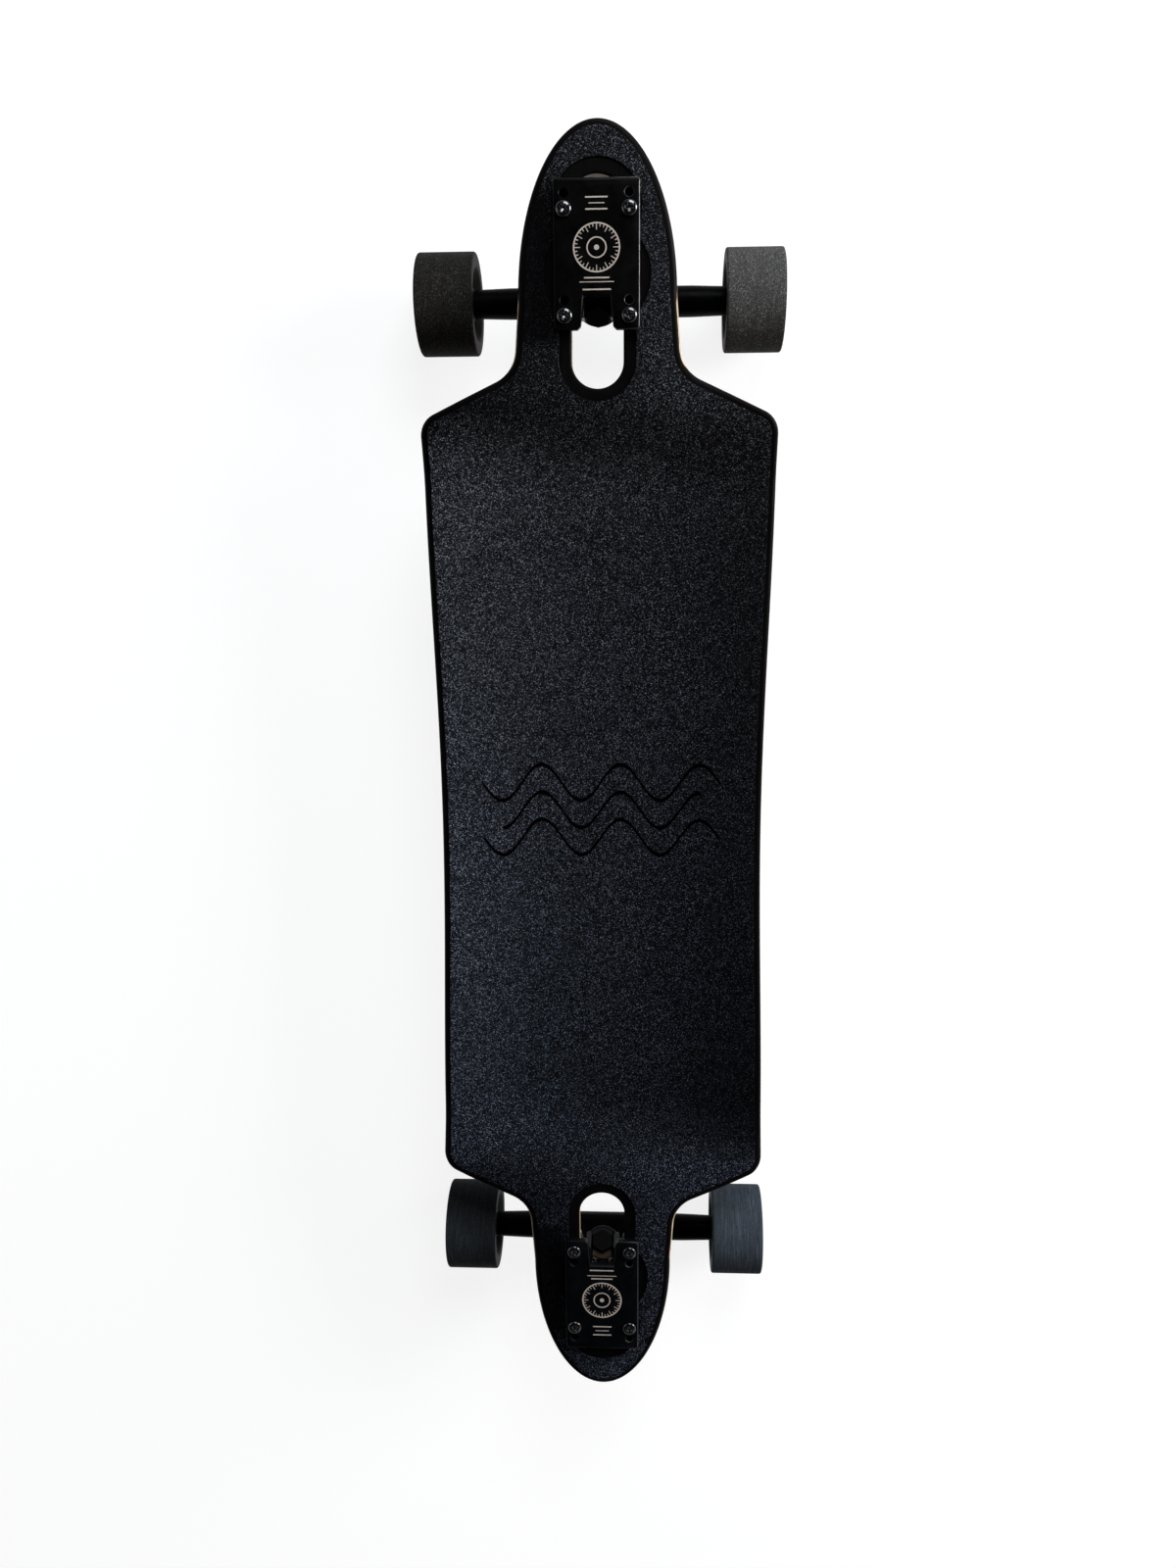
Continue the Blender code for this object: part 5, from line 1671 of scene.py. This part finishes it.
@dataclass
class Hanger:
    """Hanger casting: tapered beam, two wings, a ring for the bushings and the pivot's arm."""

    sizes: TruckSizes
    beam_middle: float = 0.0104
    beam_neck: float = 0.01015
    beam_end: float = 0.00935
    beam_bore: float = 0.0041
    neck_at: float = 0.0620
    collar: float = 0.0110
    collar_width: float = 0.0022
    ring: float = 0.0175
    ring_hole: float = 0.0072
    seat: float = 0.0138
    wing_half: float = 0.00525
    wing_span: float = 0.0490
    wing_rise: float = 0.0096
    wing_peak: float = 0.0091
    shoulder: float = 0.0205
    arm: float = 0.0090
    arm_shoulder: float = 0.0074
    arm_root: float = 0.004
    nose: float = 0.0062
    nose_length: float = 0.0096
    hub_reach: float = 0.055
    hub_full: float = 0.044
    hub_step: float = 0.0002
    hub_fall: float = 0.002
    cut_reach: float = 0.03
    wing_steps: int = 121
    voxel: float = 0.0006
    smoothing: int = 7

    def beam(self) -> Shell:
        """Turned beam with a collar at each end, along X in the axle's frame.

        Returns:
            The closed shell.
        """
        end = self.sizes.hanger_half
        half = [(self.beam_bore, end, 0.0), (self.collar, end, 0.0005)]
        half += [(self.collar, end - self.collar_width, 0.0004)]
        half += [(self.beam_end, end - 1.6 * self.collar_width, 0.001)]
        half += [(self.beam_neck, self.neck_at, 0.03), (self.beam_middle, 0.0, 0.03)]
        return lathe(mirrored(half, shared=1), 80, 6, closed=True).moved(turned(1, pi / 2))

    def wings(self) -> Shell:
        """Both wings as rounded sections carried along X.

        The section at x lies between the beam and a fairing that falls as (1 - share)^2 from the
        shoulder to the tip. Its outline is a squared ellipse: sign(c) |c|^(1/2), the same for s.

        Returns:
            The closed shell in the steering frame.
        """
        size = self.sizes
        x = np.linspace(-self.wing_span, self.wing_span, self.wing_steps)
        share = np.clip((np.abs(x) - self.shoulder) / (self.wing_span - self.shoulder), 0.0, 1.0)
        rise = self.wing_rise * (1.0 - share) ** 2
        peak = self.wing_peak * np.clip(1.0 - np.abs(x) / self.shoulder, 0.0, 1.0)
        top = self.beam_middle / 2 - size.setback + rise + peak
        low = np.full_like(x, -size.setback - self.beam_middle * 0.7)
        narrow = 1.0 - 0.25 * share**2
        angle = whole_turn(48)
        across, up = (np.sign(v) * np.abs(v) ** 0.5 for v in (np.cos(angle), np.sin(angle)))
        y = (top + low)[:, None] / 2 + (top - low)[:, None] / 2 * across
        z = self.wing_half * narrow[:, None] * up - size.rake * (share**2)[:, None] * 0.6
        grid = np.stack([x[:, None] + 0 * y, y, z], axis=-1)
        first, last = (rows.mean(axis=1, keepdims=True) + 0 * rows for rows in (grid[:1], grid[-1:]))
        return grid_shell(np.concatenate([first, grid, last]), around=True)

    def arm_rows(self) -> Corners:
        """The pivot's arm, from its nose back into the ring.

        Returns:
            Rows of (radius, height, round).
        """
        start = self.sizes.pivot_from_ring - self.sizes.gap
        tip = start + self.nose_length
        rows = [(0.0, tip, 0.0), (self.nose, tip, 0.0045), (self.nose, start, 0.0004)]
        rows += [(self.arm_shoulder, start - 0.0006, 0.0006), (self.arm, self.ring, 0.004)]
        return [*rows, (self.arm, self.arm_root, 0.0), (0.0, self.arm_root, 0.0)]

    def mesh(self) -> bpy.types.Mesh:
        """Cast the body as one skin and add the turned beam.

        Returns:
            The mesh, in the steering frame.
        """
        size = self.sizes
        rim = size.ring_web / 2 + size.ring_rim
        ring = lathe([(0, rim, 0), (self.ring, rim, 0.001), (self.ring, -rim, 0.001), (0, -rim, 0)], 96)
        thick, thin = self.beam_middle + self.hub_step, self.beam_middle - self.hub_fall
        hub = [(0.0, self.hub_reach, 0.0), (thin, self.hub_reach, 0.0), (thick, self.hub_full, 0.01)]
        sleeve = lathe(mirrored(hub), 72).moved(size.axle() @ turned(1, pi / 2))
        arm = lathe(self.arm_rows(), 64).moved(turned(0, -pi / 2))
        web, away = size.ring_web / 2, self.cut_reach
        seats = [cylinder(self.seat, low, high, 72) for low, high in ((web, away), (-away, -web))]
        cuts = [*seats, cylinder(self.ring_hole, -away, away, 64)]
        rough = [cut_out(shell, cuts) for shell in (self.wings(), sleeve, ring, arm)]
        return cast(rough, self.voxel, self.smoothing, mesh_of("beam", self.beam().moved(size.axle())))


@dataclass
class Hardware:
    """Turned and hexagonal small parts of a truck, each about its own Z."""

    sizes: TruckSizes
    head: float = 0.0050
    head_rise: float = 0.0028
    head_edge: float = 0.0010
    cross_half: float = 0.00068
    cross_reach: float = 0.0026
    cross_depth: float = 0.0016
    cross_soft: float = 0.00022
    dome_power: float = 2.6
    bolt_radius: float = 0.0024
    bolt_tip: float = 0.0019
    bolt_nut: float = 0.0052
    bolt_tail: float = 0.0026
    washer_rim: float = 0.0141
    bushing_near: float = 0.0135
    cup_bore: float = 0.0065
    cup_floor: float = 0.0014
    axle_radius: float = 0.0040
    axle_washer: float = 0.0059
    axle_spacer: float = 0.0050

    def bolt(self) -> Shell:
        """Pan-headed bolt with a cross recess, its seat at height 0.

        The head's height is a dome less a cross: the depth is full where the smaller of |x| and |y|
        is inside the arm and the larger is short of its end, and eases to nothing past them.

        Returns:
            The closed shell.
        """
        radius, edge, reach, soft = self.head, self.head_edge, self.cross_reach, self.cross_soft
        rings = np.concatenate([np.linspace(0.0, 0.0030, 30), np.linspace(0.0032, radius, 12)])
        angle = whole_turn(128)
        x, y = rings[:, None] * np.cos(angle), rings[:, None] * np.sin(angle)
        small, large = np.minimum(np.abs(x), np.abs(y)), np.maximum(np.abs(x), np.abs(y))
        taper = self.cross_half * (1.15 - 0.35 * large / reach)
        cross = ease((taper - small) / soft + 0.5) * ease((reach - large) / soft + 0.5)
        cross *= 1.0 - 0.55 * np.clip(large / reach, 0.0, 1.0)
        fall = np.sqrt(np.clip(1.0 - (rings[:, None] / radius) ** self.dome_power, 0.0, 1.0))
        head = np.stack([x, y, edge + (self.head_rise - edge) * fall - self.cross_depth * cross], axis=-1)
        length = self.sizes.plate_top - self.sizes.deck_bottom + self.bolt_nut + self.bolt_tail
        shank = self.bolt_radius
        below = [(radius, edge, 0), (radius, 0.0, 0.0002), (shank, 0.0, 0), (shank, 0.0006 - length, 0)]
        below += [(self.bolt_tip, -length, 0), (0.0, -length, 0)]
        return grid_shell(head, around=True).joined(lathe(below, 128))

    def lock_nut(self, across: float, height: float, collar: float, bore: float) -> Shell:
        """Hexagonal nut with a rounded collar for its nylon ring, from height 0 up.

        Args:
            across: width across the flats.
            height: height of the hexagon.
            collar: height of the collar above it.
            bore: radius of the thread.

        Returns:
            The closed shells as one.
        """
        chamfer = across * 0.05
        rows = [(0.0, 0.15), (chamfer, 1.0), (height - chamfer, 1.0)]
        rows += [(height - chamfer / 2, 0.5), (height, 0.05)]
        outer, top, sunk = across * 0.44, height + collar, height + collar * 0.7
        crown = [(bore, height - 0.0002, 0), (outer, height - 0.0002, 0), (outer, top, collar * 0.45)]
        crown += [(outer * 0.72, top, 0.0003), (outer * 0.66, sunk, 0.0002), (bore, sunk, 0)]
        return hexagonal(across, rows, bore).joined(lathe(crown, 96, closed=True))

    def kingpin(self) -> Shell:
        """Kingpin with a chamfered hexagonal head up and its thread down.

        Returns:
            The closed shells as one.
        """
        size = self.sizes
        bottom, top, radius = size.head_seat + size.gap, size.head_top, size.kingpin_radius
        rows = [(bottom, 0.5), (bottom + 0.0004, 1.0), (top - 0.0006, 1.0), (top - 0.0002, 0.82), (top, 0.55)]
        end = -size.nut_end - size.kingpin_tail
        shank = [(0, bottom + 0.001, 0), (radius, bottom + 0.001, 0), (radius, end + 0.0009, 0.0002)]
        shank += [(radius - 0.0009, end, 0.0001), (0, end, 0)]
        return hexagonal(size.kingpin_flats, rows, 0.0).joined(lathe(shank, 64))

    def cup_washer(self) -> Shell:
        """Cup washer: a disc whose rim turns over the bushing's end.

        Returns:
            The closed shell.
        """
        size = self.sizes
        low, high = size.washer_start, size.washer_end
        inner, outer = size.kingpin_radius + size.gap, self.washer_rim
        rows = [(inner, high, 0.0002), (outer - 0.0006, high, 0.0012), (outer, low, 0.0002)]
        rows += [(outer - 0.0005, low, 0.0001), (outer - 0.0013, low + 0.0005, 0.0006)]
        return lathe([*rows, (inner, low + 0.0004, 0)], 80, closed=True)

    def bushing(self, far: float) -> Shell:
        """Bushing from the ring outward, a barrel or a cone.

        Args:
            far: radius of its far end.

        Returns:
            The closed shell.
        """
        size = self.sizes
        inner, near = size.kingpin_radius + size.gap, self.bushing_near
        start, end = size.bushing_start, size.bushing_end
        rows = [(inner, end, 0.0003), (far, end, 0.0012), (near, start + 0.0050, 0.004)]
        return lathe([*rows, (near, start, 0.0012), (inner, start, 0.0003)], 72, 6, closed=True)

    def pivot_cup(self) -> Shell:
        """Thick urethane cup, open towards the ring, about the pivot axis.

        Returns:
            The closed shell.
        """
        size = self.sizes
        outer, bore, start = size.cup_radius, self.cup_bore, size.pivot_from_ring + size.gap
        end = start + size.cup_length
        floor = end - self.cup_floor
        rows = [(0, end, 0), (outer, end, 0.0012), (outer, start, 0.0006), (bore, start, 0.0006)]
        return lathe([*rows, (bore, floor, 0.0030), (0, floor, 0)], 72)

    def axle(self) -> Shell:
        """Axle along Z with its speed washers and bearing spacers, alike at both ends.

        Returns:
            The closed shell.
        """
        size = self.sizes
        radius, washer, spacer = self.axle_radius, self.axle_washer, self.axle_spacer
        out = size.bearing_out + size.bearing + size.gap
        near = size.hanger_half + size.gap
        start = size.bearing_in + size.bearing + size.gap
        half = [(0.0, size.axle_end, 0), (radius - 0.0008, size.axle_end, 0.0001)]
        half += [(radius, size.axle_end - 0.0008, 0.0001)]
        thin = size.axle_washer
        for wide, low, width in ((washer, out, thin), (spacer, start, size.spacer), (washer, near, thin)):
            high = low + width
            half += [(radius, high, 0), (wide, high, 0.0002), (wide, low, 0.0002), (radius, low, 0)]
        return lathe(mirrored(half), 64, 3)


@dataclass
class Wheel:
    """One wheel about its axle: tyre, core and two bearings, with the middle of the tyre at 0."""

    sizes: TruckSizes
    radius: float = 0.03375
    half_width: float = 0.0195
    lip: float = 0.0015
    face: float = 0.0246
    core_radius: float = 0.0170
    core_half: float = 0.0116
    seat: float = 0.0113
    core_shoulder: float = 0.0086
    lead: float = 0.0004
    pockets: int = 6
    pocket_depth: float = 0.0022
    pocket_half: float = 0.0018
    pocket_soft: float = 0.0004
    bearing_bore: float = 0.0043
    bearing_radius: float = 0.0110
    inner_race: float = 0.0062
    outer_race: float = 0.0096
    seal_sunk: float = 0.00035

    def tyre(self) -> Shell:
        """Tyre: flat tread, round lips, and a dished face on each side down to the core.

        Returns:
            The closed shell.
        """
        bore, offset = self.core_radius + self.sizes.gap, self.sizes.core_offset
        inner, half = self.core_half - 0.0006, self.half_width
        flare = bore + 0.0016
        tread = [(self.radius, place, 0.0) for place in np.linspace(0.9, -0.9, 9) * (half - self.lip)]
        rows = [(bore, inner - offset, 0.0004), (flare, inner - offset + 0.0002, 0.0012)]
        rows += [(self.face, half, 0.0030), (self.radius, half, self.lip), *tread]
        rows += [(self.radius, -half, self.lip), (self.face, -half, 0.0030)]
        rows += [(flare, -inner - offset - 0.0002, 0.0012), (bore, -inner - offset, 0.0004)]
        return lathe(rows, 160, 8, closed=True)

    def core(self) -> Shell:
        """Core: two bearing seats, a shoulder between them, and pockets sunk in its outer face.

        A point of the outer face sinks by the pocket's depth, eased, where its distance from the
        nearest spoke's line and its radius are inside the pocket.

        Returns:
            The closed shell.
        """
        offset, step, seat, outer = self.sizes.core_offset, self.sizes.spacer / 2, self.seat, self.core_radius
        shoulder, lead, soft = self.core_shoulder, self.lead, self.pocket_soft
        high, low = self.core_half - offset, -self.core_half - offset
        rows = [(place, high, 0) for place in np.linspace(outer - 0.0003, seat + lead, 26)[::-1]]
        rows += [(outer - 0.0003, high, 0), (outer, high - 0.0003, 0), (outer, low, 0.0004)]
        rows += [(seat + lead, low, 0), (seat, low + lead, 0)]
        rows += [(seat, -step - offset, 0), (shoulder, -step - offset, 0.0003)]
        rows += [(shoulder, step - offset, 0.0003), (seat, step - offset, 0), (seat, high - lead, 0)]
        made = lathe([*rows, (seat + lead, high, 0)], 144)
        x, y, z = made.points.T
        out, sector = np.hypot(x, y), 2 * pi / self.pockets
        angle = (np.arctan2(y, x) + sector / 2) % sector - sector / 2
        side = np.abs(out * np.sin(angle))
        rim = (outer - seat) / 4
        pocket = ease((self.pocket_half - side) / soft + 0.5)
        pocket *= ease((out - seat - rim) / soft + 0.5) * ease((outer - rim - out) / soft + 0.5)
        sunk = np.where(z > high - 1e-6, pocket * self.pocket_depth, 0.0)
        return Shell(np.stack([x, y, z - sunk], axis=1), made.faces, made.local).rooted()

    def bearing(self) -> Shell:
        """Sealed ball bearing from height 0 up: two races and a seal set in each side.

        Returns:
            The closed shell.
        """
        half = self.sizes.bearing / 2
        near, far, sunk = self.inner_race, self.outer_race, half - self.seal_sunk
        rows = [(self.bearing_bore, half, 0.0003), (near, half, 0.0001), (near, sunk, 0), (far, sunk, 0)]
        rows += [(far, half, 0.0001), (self.bearing_radius, half, 0.0004)]
        return lathe(mirrored(rows), 96, 4, closed=True).moved(shifted(z=half)).rooted()


@dataclass
class Truck:
    """One truck with its two wheels."""

    end: End
    sizes: TruckSizes
    finishes: dict[str, bpy.types.Material]
    shared: dict[str, bpy.types.Mesh]

    @property
    def prefix(self) -> str:
        """What the names of this truck's nodes start with."""
        return self.end.name.lower()

    def copy(self, key: str, place: Array) -> bpy.types.Mesh:
        """A shared mesh moved to its place in the model.

        Args:
            key: the shared mesh.
            place: where its own frame lies.

        Returns:
            A mesh of its own.
        """
        made = self.shared[key].copy()
        made.transform(Matrix(place.tolist()))
        return made

    def add(self, part: str, key: str, finish: str, body: str, slot: Slot, place: Array) -> bpy.types.Object:
        """Add the piece that stands for a node of this truck: a shared mesh with its frame at a place."""
        node = f"{self.prefix}_{part}"
        return add_piece(f"fine_{node}", self.copy(key, place), self.finishes[finish], body, node)

    def build_fixed(self, base: Array) -> None:
        """Add what is fastened to the board.

        Args:
            base: the truck's frame.
        """
        size = self.sizes
        self.add("baseplate", "baseplate", f"{self.prefix}_plate", "board", Slot.CAST, base)
        marks, pale = self.copy("marks", base), self.finishes["mark"]
        add_piece(f"{self.prefix}_plate_scale", marks, pale, "board")
        under = size.deck_bottom - size.gap - size.plate_top
        for number, (x, y) in enumerate(size.bolts(), start=1):
            seat = base @ shifted(x, y, size.gap) @ turned(2, number * 0.7 + 0.4 * self.end.value)
            self.add(f"bolt_{number}", "bolt", "screw", "board", Slot.SCREW, seat)
            below = base @ shifted(x, y, under) @ turned(0, pi) @ turned(2, number * 0.4)
            self.add(f"lock_nut_{number}", "bolt_nut", "zinc", "board", Slot.ZINC, below)

    def build_kingpin(self, steer: Array) -> None:
        """Add the kingpin with its washers, nut, bushings and the pivot cup.

        Args:
            steer: the steering frame.
        """
        size, below = self.sizes, steer @ turned(0, pi)
        self.add("kingpin", "kingpin", "kingpin", "board", Slot.SCREW, steer)
        self.add("pivot_cup", "cup", "cup", "board", Slot.CUP, steer @ turned(0, -pi / 2))
        self.add("boardside_washer", "washer", "zinc", "board", Slot.ZINC, steer)
        self.add("roadside_washer", "washer", "zinc", "board", Slot.ZINC, below)
        nut = below @ shifted(z=size.washer_end + size.gap)
        self.add("kingpin_nut", "kingpin_nut", "zinc", "board", Slot.ZINC, nut)
        for part, key, place in (("boardside_bushing", "barrel", steer), ("roadside_bushing", "cone", below)):
            made = self.add(part, key, "bushing", "", Slot.BUSHING, place)
            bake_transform(made)

    def build_wheel(self, axle: Array, hand: Hand) -> None:
        """Add one wheel.

        Args:
            axle: the frame on the axle.
            hand: the wheel's side.
        """
        size, part = self.sizes, hand.name.lower()
        name, side = f"{self.prefix}_{part}", hand.value * self.end.value
        body = f"{name}_wheel"
        hub = axle @ turned(0, -size.steer) @ shifted(side * size.wheel_middle) @ turned(1, side * pi / 2)
        rolled = hub @ turned(2, 0.9 * self.end.value + 1.7 * hand.value)
        self.add(f"{part}_tyre", "tyre", f"{name}_tyre", body, Slot.TYRE, rolled)
        self.add(f"{part}_core", "core", "core", body, Slot.CORE, rolled)
        for which, start in (("inner", size.bearing_in), ("outer", size.bearing_out)):
            place = hub @ shifted(z=start - size.wheel_middle)
            self.add(f"{part}_{which}_bearing", "bearing", "bearing", body, Slot.STEEL, place)

    def build(self) -> None:
        """Add every piece of this truck."""
        base = self.sizes.truck(self.end)
        steer = base @ self.sizes.steering()
        axle, hanger = steer @ self.sizes.axle(), f"{self.prefix}_hanger_body"
        self.build_fixed(base)
        self.build_kingpin(steer)
        self.add("hanger", "hanger", "hanger", hanger, Slot.CAST, steer)
        self.add("axle", "axle", "steel", hanger, Slot.STEEL, axle @ turned(1, pi / 2))
        for hand in Hand:
            side = hand.value * self.end.value
            seat = axle @ shifted(side * self.sizes.axle_nut_start) @ turned(1, side * pi / 2)
            self.add(f"{hand.name.lower()}_axle_nut", "axle_nut", "zinc", hanger, Slot.ZINC, seat)
        for hand in Hand:
            self.build_wheel(axle, hand)
        log.info("%s truck: baseplate, kingpin stack, hanger and two wheels", self.prefix)


# Studio


@dataclass
class Studio:
    """Camera at the portrait's place, a pale floor and soft lamps."""

    camera_rows: tuple[tuple[float, ...], ...] = (
        (0.9988637, -0.0030295, 0.0475619, 0.03264),
        (-0.0069533, 0.9780349, 0.2083253, 0.20360),
        (-0.0471483, -0.2084193, 0.9769025, 0.92920),
        (0.0, 0.0, 0.0, 1.0),
    )
    focal: float = 28.35
    sensor: float = 36.0
    floor_reach: float = 9.0
    floor_level: float = -0.0001
    ceiling: float = 0.02
    walls: float = 1.1
    wall_top: float = radians(12.0)
    ceiling_edge: float = radians(48.0)
    nose_end: float = 0.55
    tail_end: float = 0.12
    shaded: float = 0.30
    lit_reach: float = 0.6
    warm: Colour = (1.0, 0.95, 0.90)
    cool: Colour = (0.88, 0.94, 1.0)

    def camera(self) -> None:
        """Set the camera."""
        lens = bpy.data.cameras.new("portrait")
        lens.lens, lens.sensor_width = self.focal, self.sensor
        made = linked("portrait", lens)
        made.matrix_world = Matrix(self.camera_rows)
        bpy.context.scene.camera = made

    def lamp(self, name: str, place: Colour, size: float, power: float, tint: Colour) -> None:
        """Add a square soft lamp aimed at the board's middle.

        Args:
            name: the lamp's name.
            place: where it hangs.
            size: its side.
            power: its power in watts.
            tint: its colour.
        """
        light = bpy.data.lights.new(name, "AREA")
        light.size, light.energy, light.color = size, power, tint
        made = linked(name, light)
        aim = Vector(place).to_track_quat("Z", "Y").to_matrix().to_4x4()
        made.matrix_world = Matrix.Translation(place) @ aim
        made.visible_camera = False

    def floor(self) -> None:
        """Lay the floor, which takes the shadow."""
        line = np.linspace(-self.floor_reach, self.floor_reach, 3)
        x, y = np.meshgrid(line, line, indexing="ij")
        grid = np.stack([x, y, np.full_like(x, self.floor_level)], axis=-1)
        made = linked("floor", mesh_of("floor", grid_shell(grid), filled=False))
        made.data.materials.append(FloorPaint().build())

    def world(self) -> None:
        """Light everything from all round.

        The wall at the window's side is pale, the one across from it is dimmer, and so are those past
        the board's ends. Every wall eases to a dark ceiling between two elevations, and its tint runs
        from warm to cool along Y.
        """
        world = bpy.data.worlds.new("studio")
        bpy.context.scene.world = world
        world.use_nodes = True
        sketch = Sketch(world.node_tree)
        x, y, z = sketch.node("TexCoord", "Generated").parts()
        low, high, rise = sin(self.wall_top), sin(self.ceiling_edge), self.walls - self.ceiling
        level = z.span(low, high, rise, 0.0, "SMOOTHSTEP")
        side = (x * x).maths("MAXIMUM", y.span(-1.0, 1.0, self.tail_end, self.nose_end))
        wall = level * side * x.span(-self.lit_reach, self.lit_reach, self.shaded, 1.0)
        seen = sketch.node("LightPath", "Is Camera Ray")
        colour = sketch.blend(y.fall(-1.0, 1.0), self.cool, self.warm)
        sketch.shade(
            "Background",
            Color=sketch.blend(seen, colour, (1.0, 1.0, 1.0)),
            Strength=(wall + self.ceiling).maths("MAXIMUM", seen),
        )

    def build(self) -> None:
        """Set up the whole studio."""
        self.camera()
        self.lamp("window", (2.25, 0.85, 0.78), 1.1, 92.0, (1.0, 0.99, 0.98))
        self.lamp("fill", (-2.0, 0.3, 1.2), 1.3, 5.0, (0.94, 0.97, 1.0))
        self.lamp("nose", (0.5, 1.9, 1.45), 1.0, 37.0, self.cool)
        self.lamp("tail", (1.2, -2.0, 1.2), 1.0, 2.0, self.warm)
        self.floor()
        self.world()
        bpy.context.scene.view_settings.view_transform = "Standard"
        log.info("studio: camera, floor and lamps")


def build_finishes(sizes: TruckSizes) -> dict[str, bpy.types.Material]:
    """Make every finish of the trucks and wheels by name.

    Args:
        sizes: the truck's sizes, which say where the kingpin's seat is.

    Returns:
        The finishes.
    """
    plate = {"rough": 0.24, "pebble": 0.00003}
    seat = {"seat_frame": sizes.steering(), "seat_height": sizes.head_seat}
    # Bevel colour and gloss of the rear plate's painted highlight.
    wear_and_painted_highlight = {"bevel": (0.018, 0.020, 0.022), "bevel_gloss": 0.25}
    pin = {"rough": 0.36, "pebble": 0.00002, "gloss": 0.02, "dusty": 0.05}
    zinc = {"cloud": (260.0, 4.0, 0.65), "share": (0.35, 0.75), "rough": (0.26, 0.46), "skin": (3200.0, 2.0)}
    zinc |= {"depth": 0.00002, "metallic": 1.0, "specular": 0.5}
    front = (0.0010, 0.0009, 0.0009), (0.0028, 0.0025, 0.0024)
    rear = (0.0010, 0.0014, 0.0019), (0.0027, 0.0032, 0.0040)
    beam = (0.0006, 0.0006, 0.0006), (0.0016, 0.0014, 0.0013)
    bolt = (0.0005, 0.0005, 0.0005), (0.0012, 0.0011, 0.0010)
    dusty = (0.034, 0.033, 0.032)
    recipes = {
        # Each plate's bevels carry a painted highlight towards the window, +X in the model: +1 in the front
        # truck's frame, -1 in the rear's, which is turned round.
        "front_plate": BlackCast("front_plate_black", *front, **plate, painted_highlight_side=1.0),
        "rear_plate": BlackCast("rear_plate_black", *rear, **plate, **seat, **wear_and_painted_highlight, painted_highlight_side=-1.0),
        "hanger": BlackCast("satin_black_cast", *beam, gloss=0.02, dusty=0.06),
        "screw": BlackScrew(),
        "kingpin": BlackCast("kingpin_black", *bolt, **pin),
        "steel": TurnedSteel(),
        "zinc": Clouded("zinc_plate", (0.52, 0.53, 0.55), (0.30, 0.30, 0.30), **zinc),
        "bushing": Clouded("bushing_urethane", (0.010, 0.0096, 0.0096), (0.030, 0.029, 0.028)),
        "cup": Clouded("cup_urethane", (0.011, 0.011, 0.011), dusty),
        "core": Clouded("core_plastic", (0.010, 0.010, 0.011), dusty, rough=(0.34, 0.54)),
        # One urethane for all four tyres: the left ones are darker by painted shade, as the deck shades them
        # from the window, and the right ones lighter by painted light.
        "front_left_tyre": WornTyre("front_left_urethane", (0.0160, 0.0150, 0.0132), 0.2),
        "front_right_tyre": WornTyre("front_right_urethane", (0.0500, 0.0492, 0.0478), 0.3),
        "rear_left_tyre": WornTyre("rear_left_urethane_painted_shade", (0.0165, 0.0190, 0.0215), 0.75),
        "rear_right_tyre": WornTyre("rear_right_urethane", (0.0310, 0.0380, 0.0480), 0.85),
        "bearing": SealedBearing(),
        "mark": PaleMark(),
    }
    return {key: recipe.build() for key, recipe in recipes.items()}


def build_shared(sizes: TruckSizes) -> dict[str, bpy.types.Mesh]:
    """Make each mesh that both trucks use, in its own frame.

    Args:
        sizes: the truck's sizes.

    Returns:
        The meshes by name.
    """
    hardware, wheel, baseplate = Hardware(sizes), Wheel(sizes), Baseplate(sizes)
    shells = {
        "marks": baseplate.marks(),
        "bolt": hardware.bolt(),
        "bolt_nut": hardware.lock_nut(0.0095, 0.0036, 0.0016, 0.0024),
        "kingpin": hardware.kingpin(),
        "kingpin_nut": hardware.lock_nut(0.0143, 0.0055, 0.0025, 0.0048),
        "axle_nut": hardware.lock_nut(0.0130, 0.0046, 0.0019, 0.0040),
        "washer": hardware.cup_washer(),
        "barrel": hardware.bushing(0.0135),
        "cone": hardware.bushing(0.01125),
        "cup": hardware.pivot_cup(),
        "axle": hardware.axle(),
        "tyre": wheel.tyre(),
        "core": wheel.core(),
        "bearing": wheel.bearing(),
    }
    made = {name: mesh_of(name, shell) for name, shell in shells.items()}
    made["baseplate"] = baseplate.mesh()
    made["hanger"] = Hanger(sizes).mesh()
    log.info("shared meshes: %s", ", ".join(sorted(made)))
    return made


def main() -> None:
    """Build the board, both trucks and the studio."""
    logging.basicConfig(level=logging.INFO, format="%(message)s")
    Board().build()
    sizes = TruckSizes()
    finishes, shared = build_finishes(sizes), build_shared(sizes)
    for end in End:
        Truck(end, sizes, finishes, shared).build()
    Studio().build()


if __name__ == "__main__":
    main()
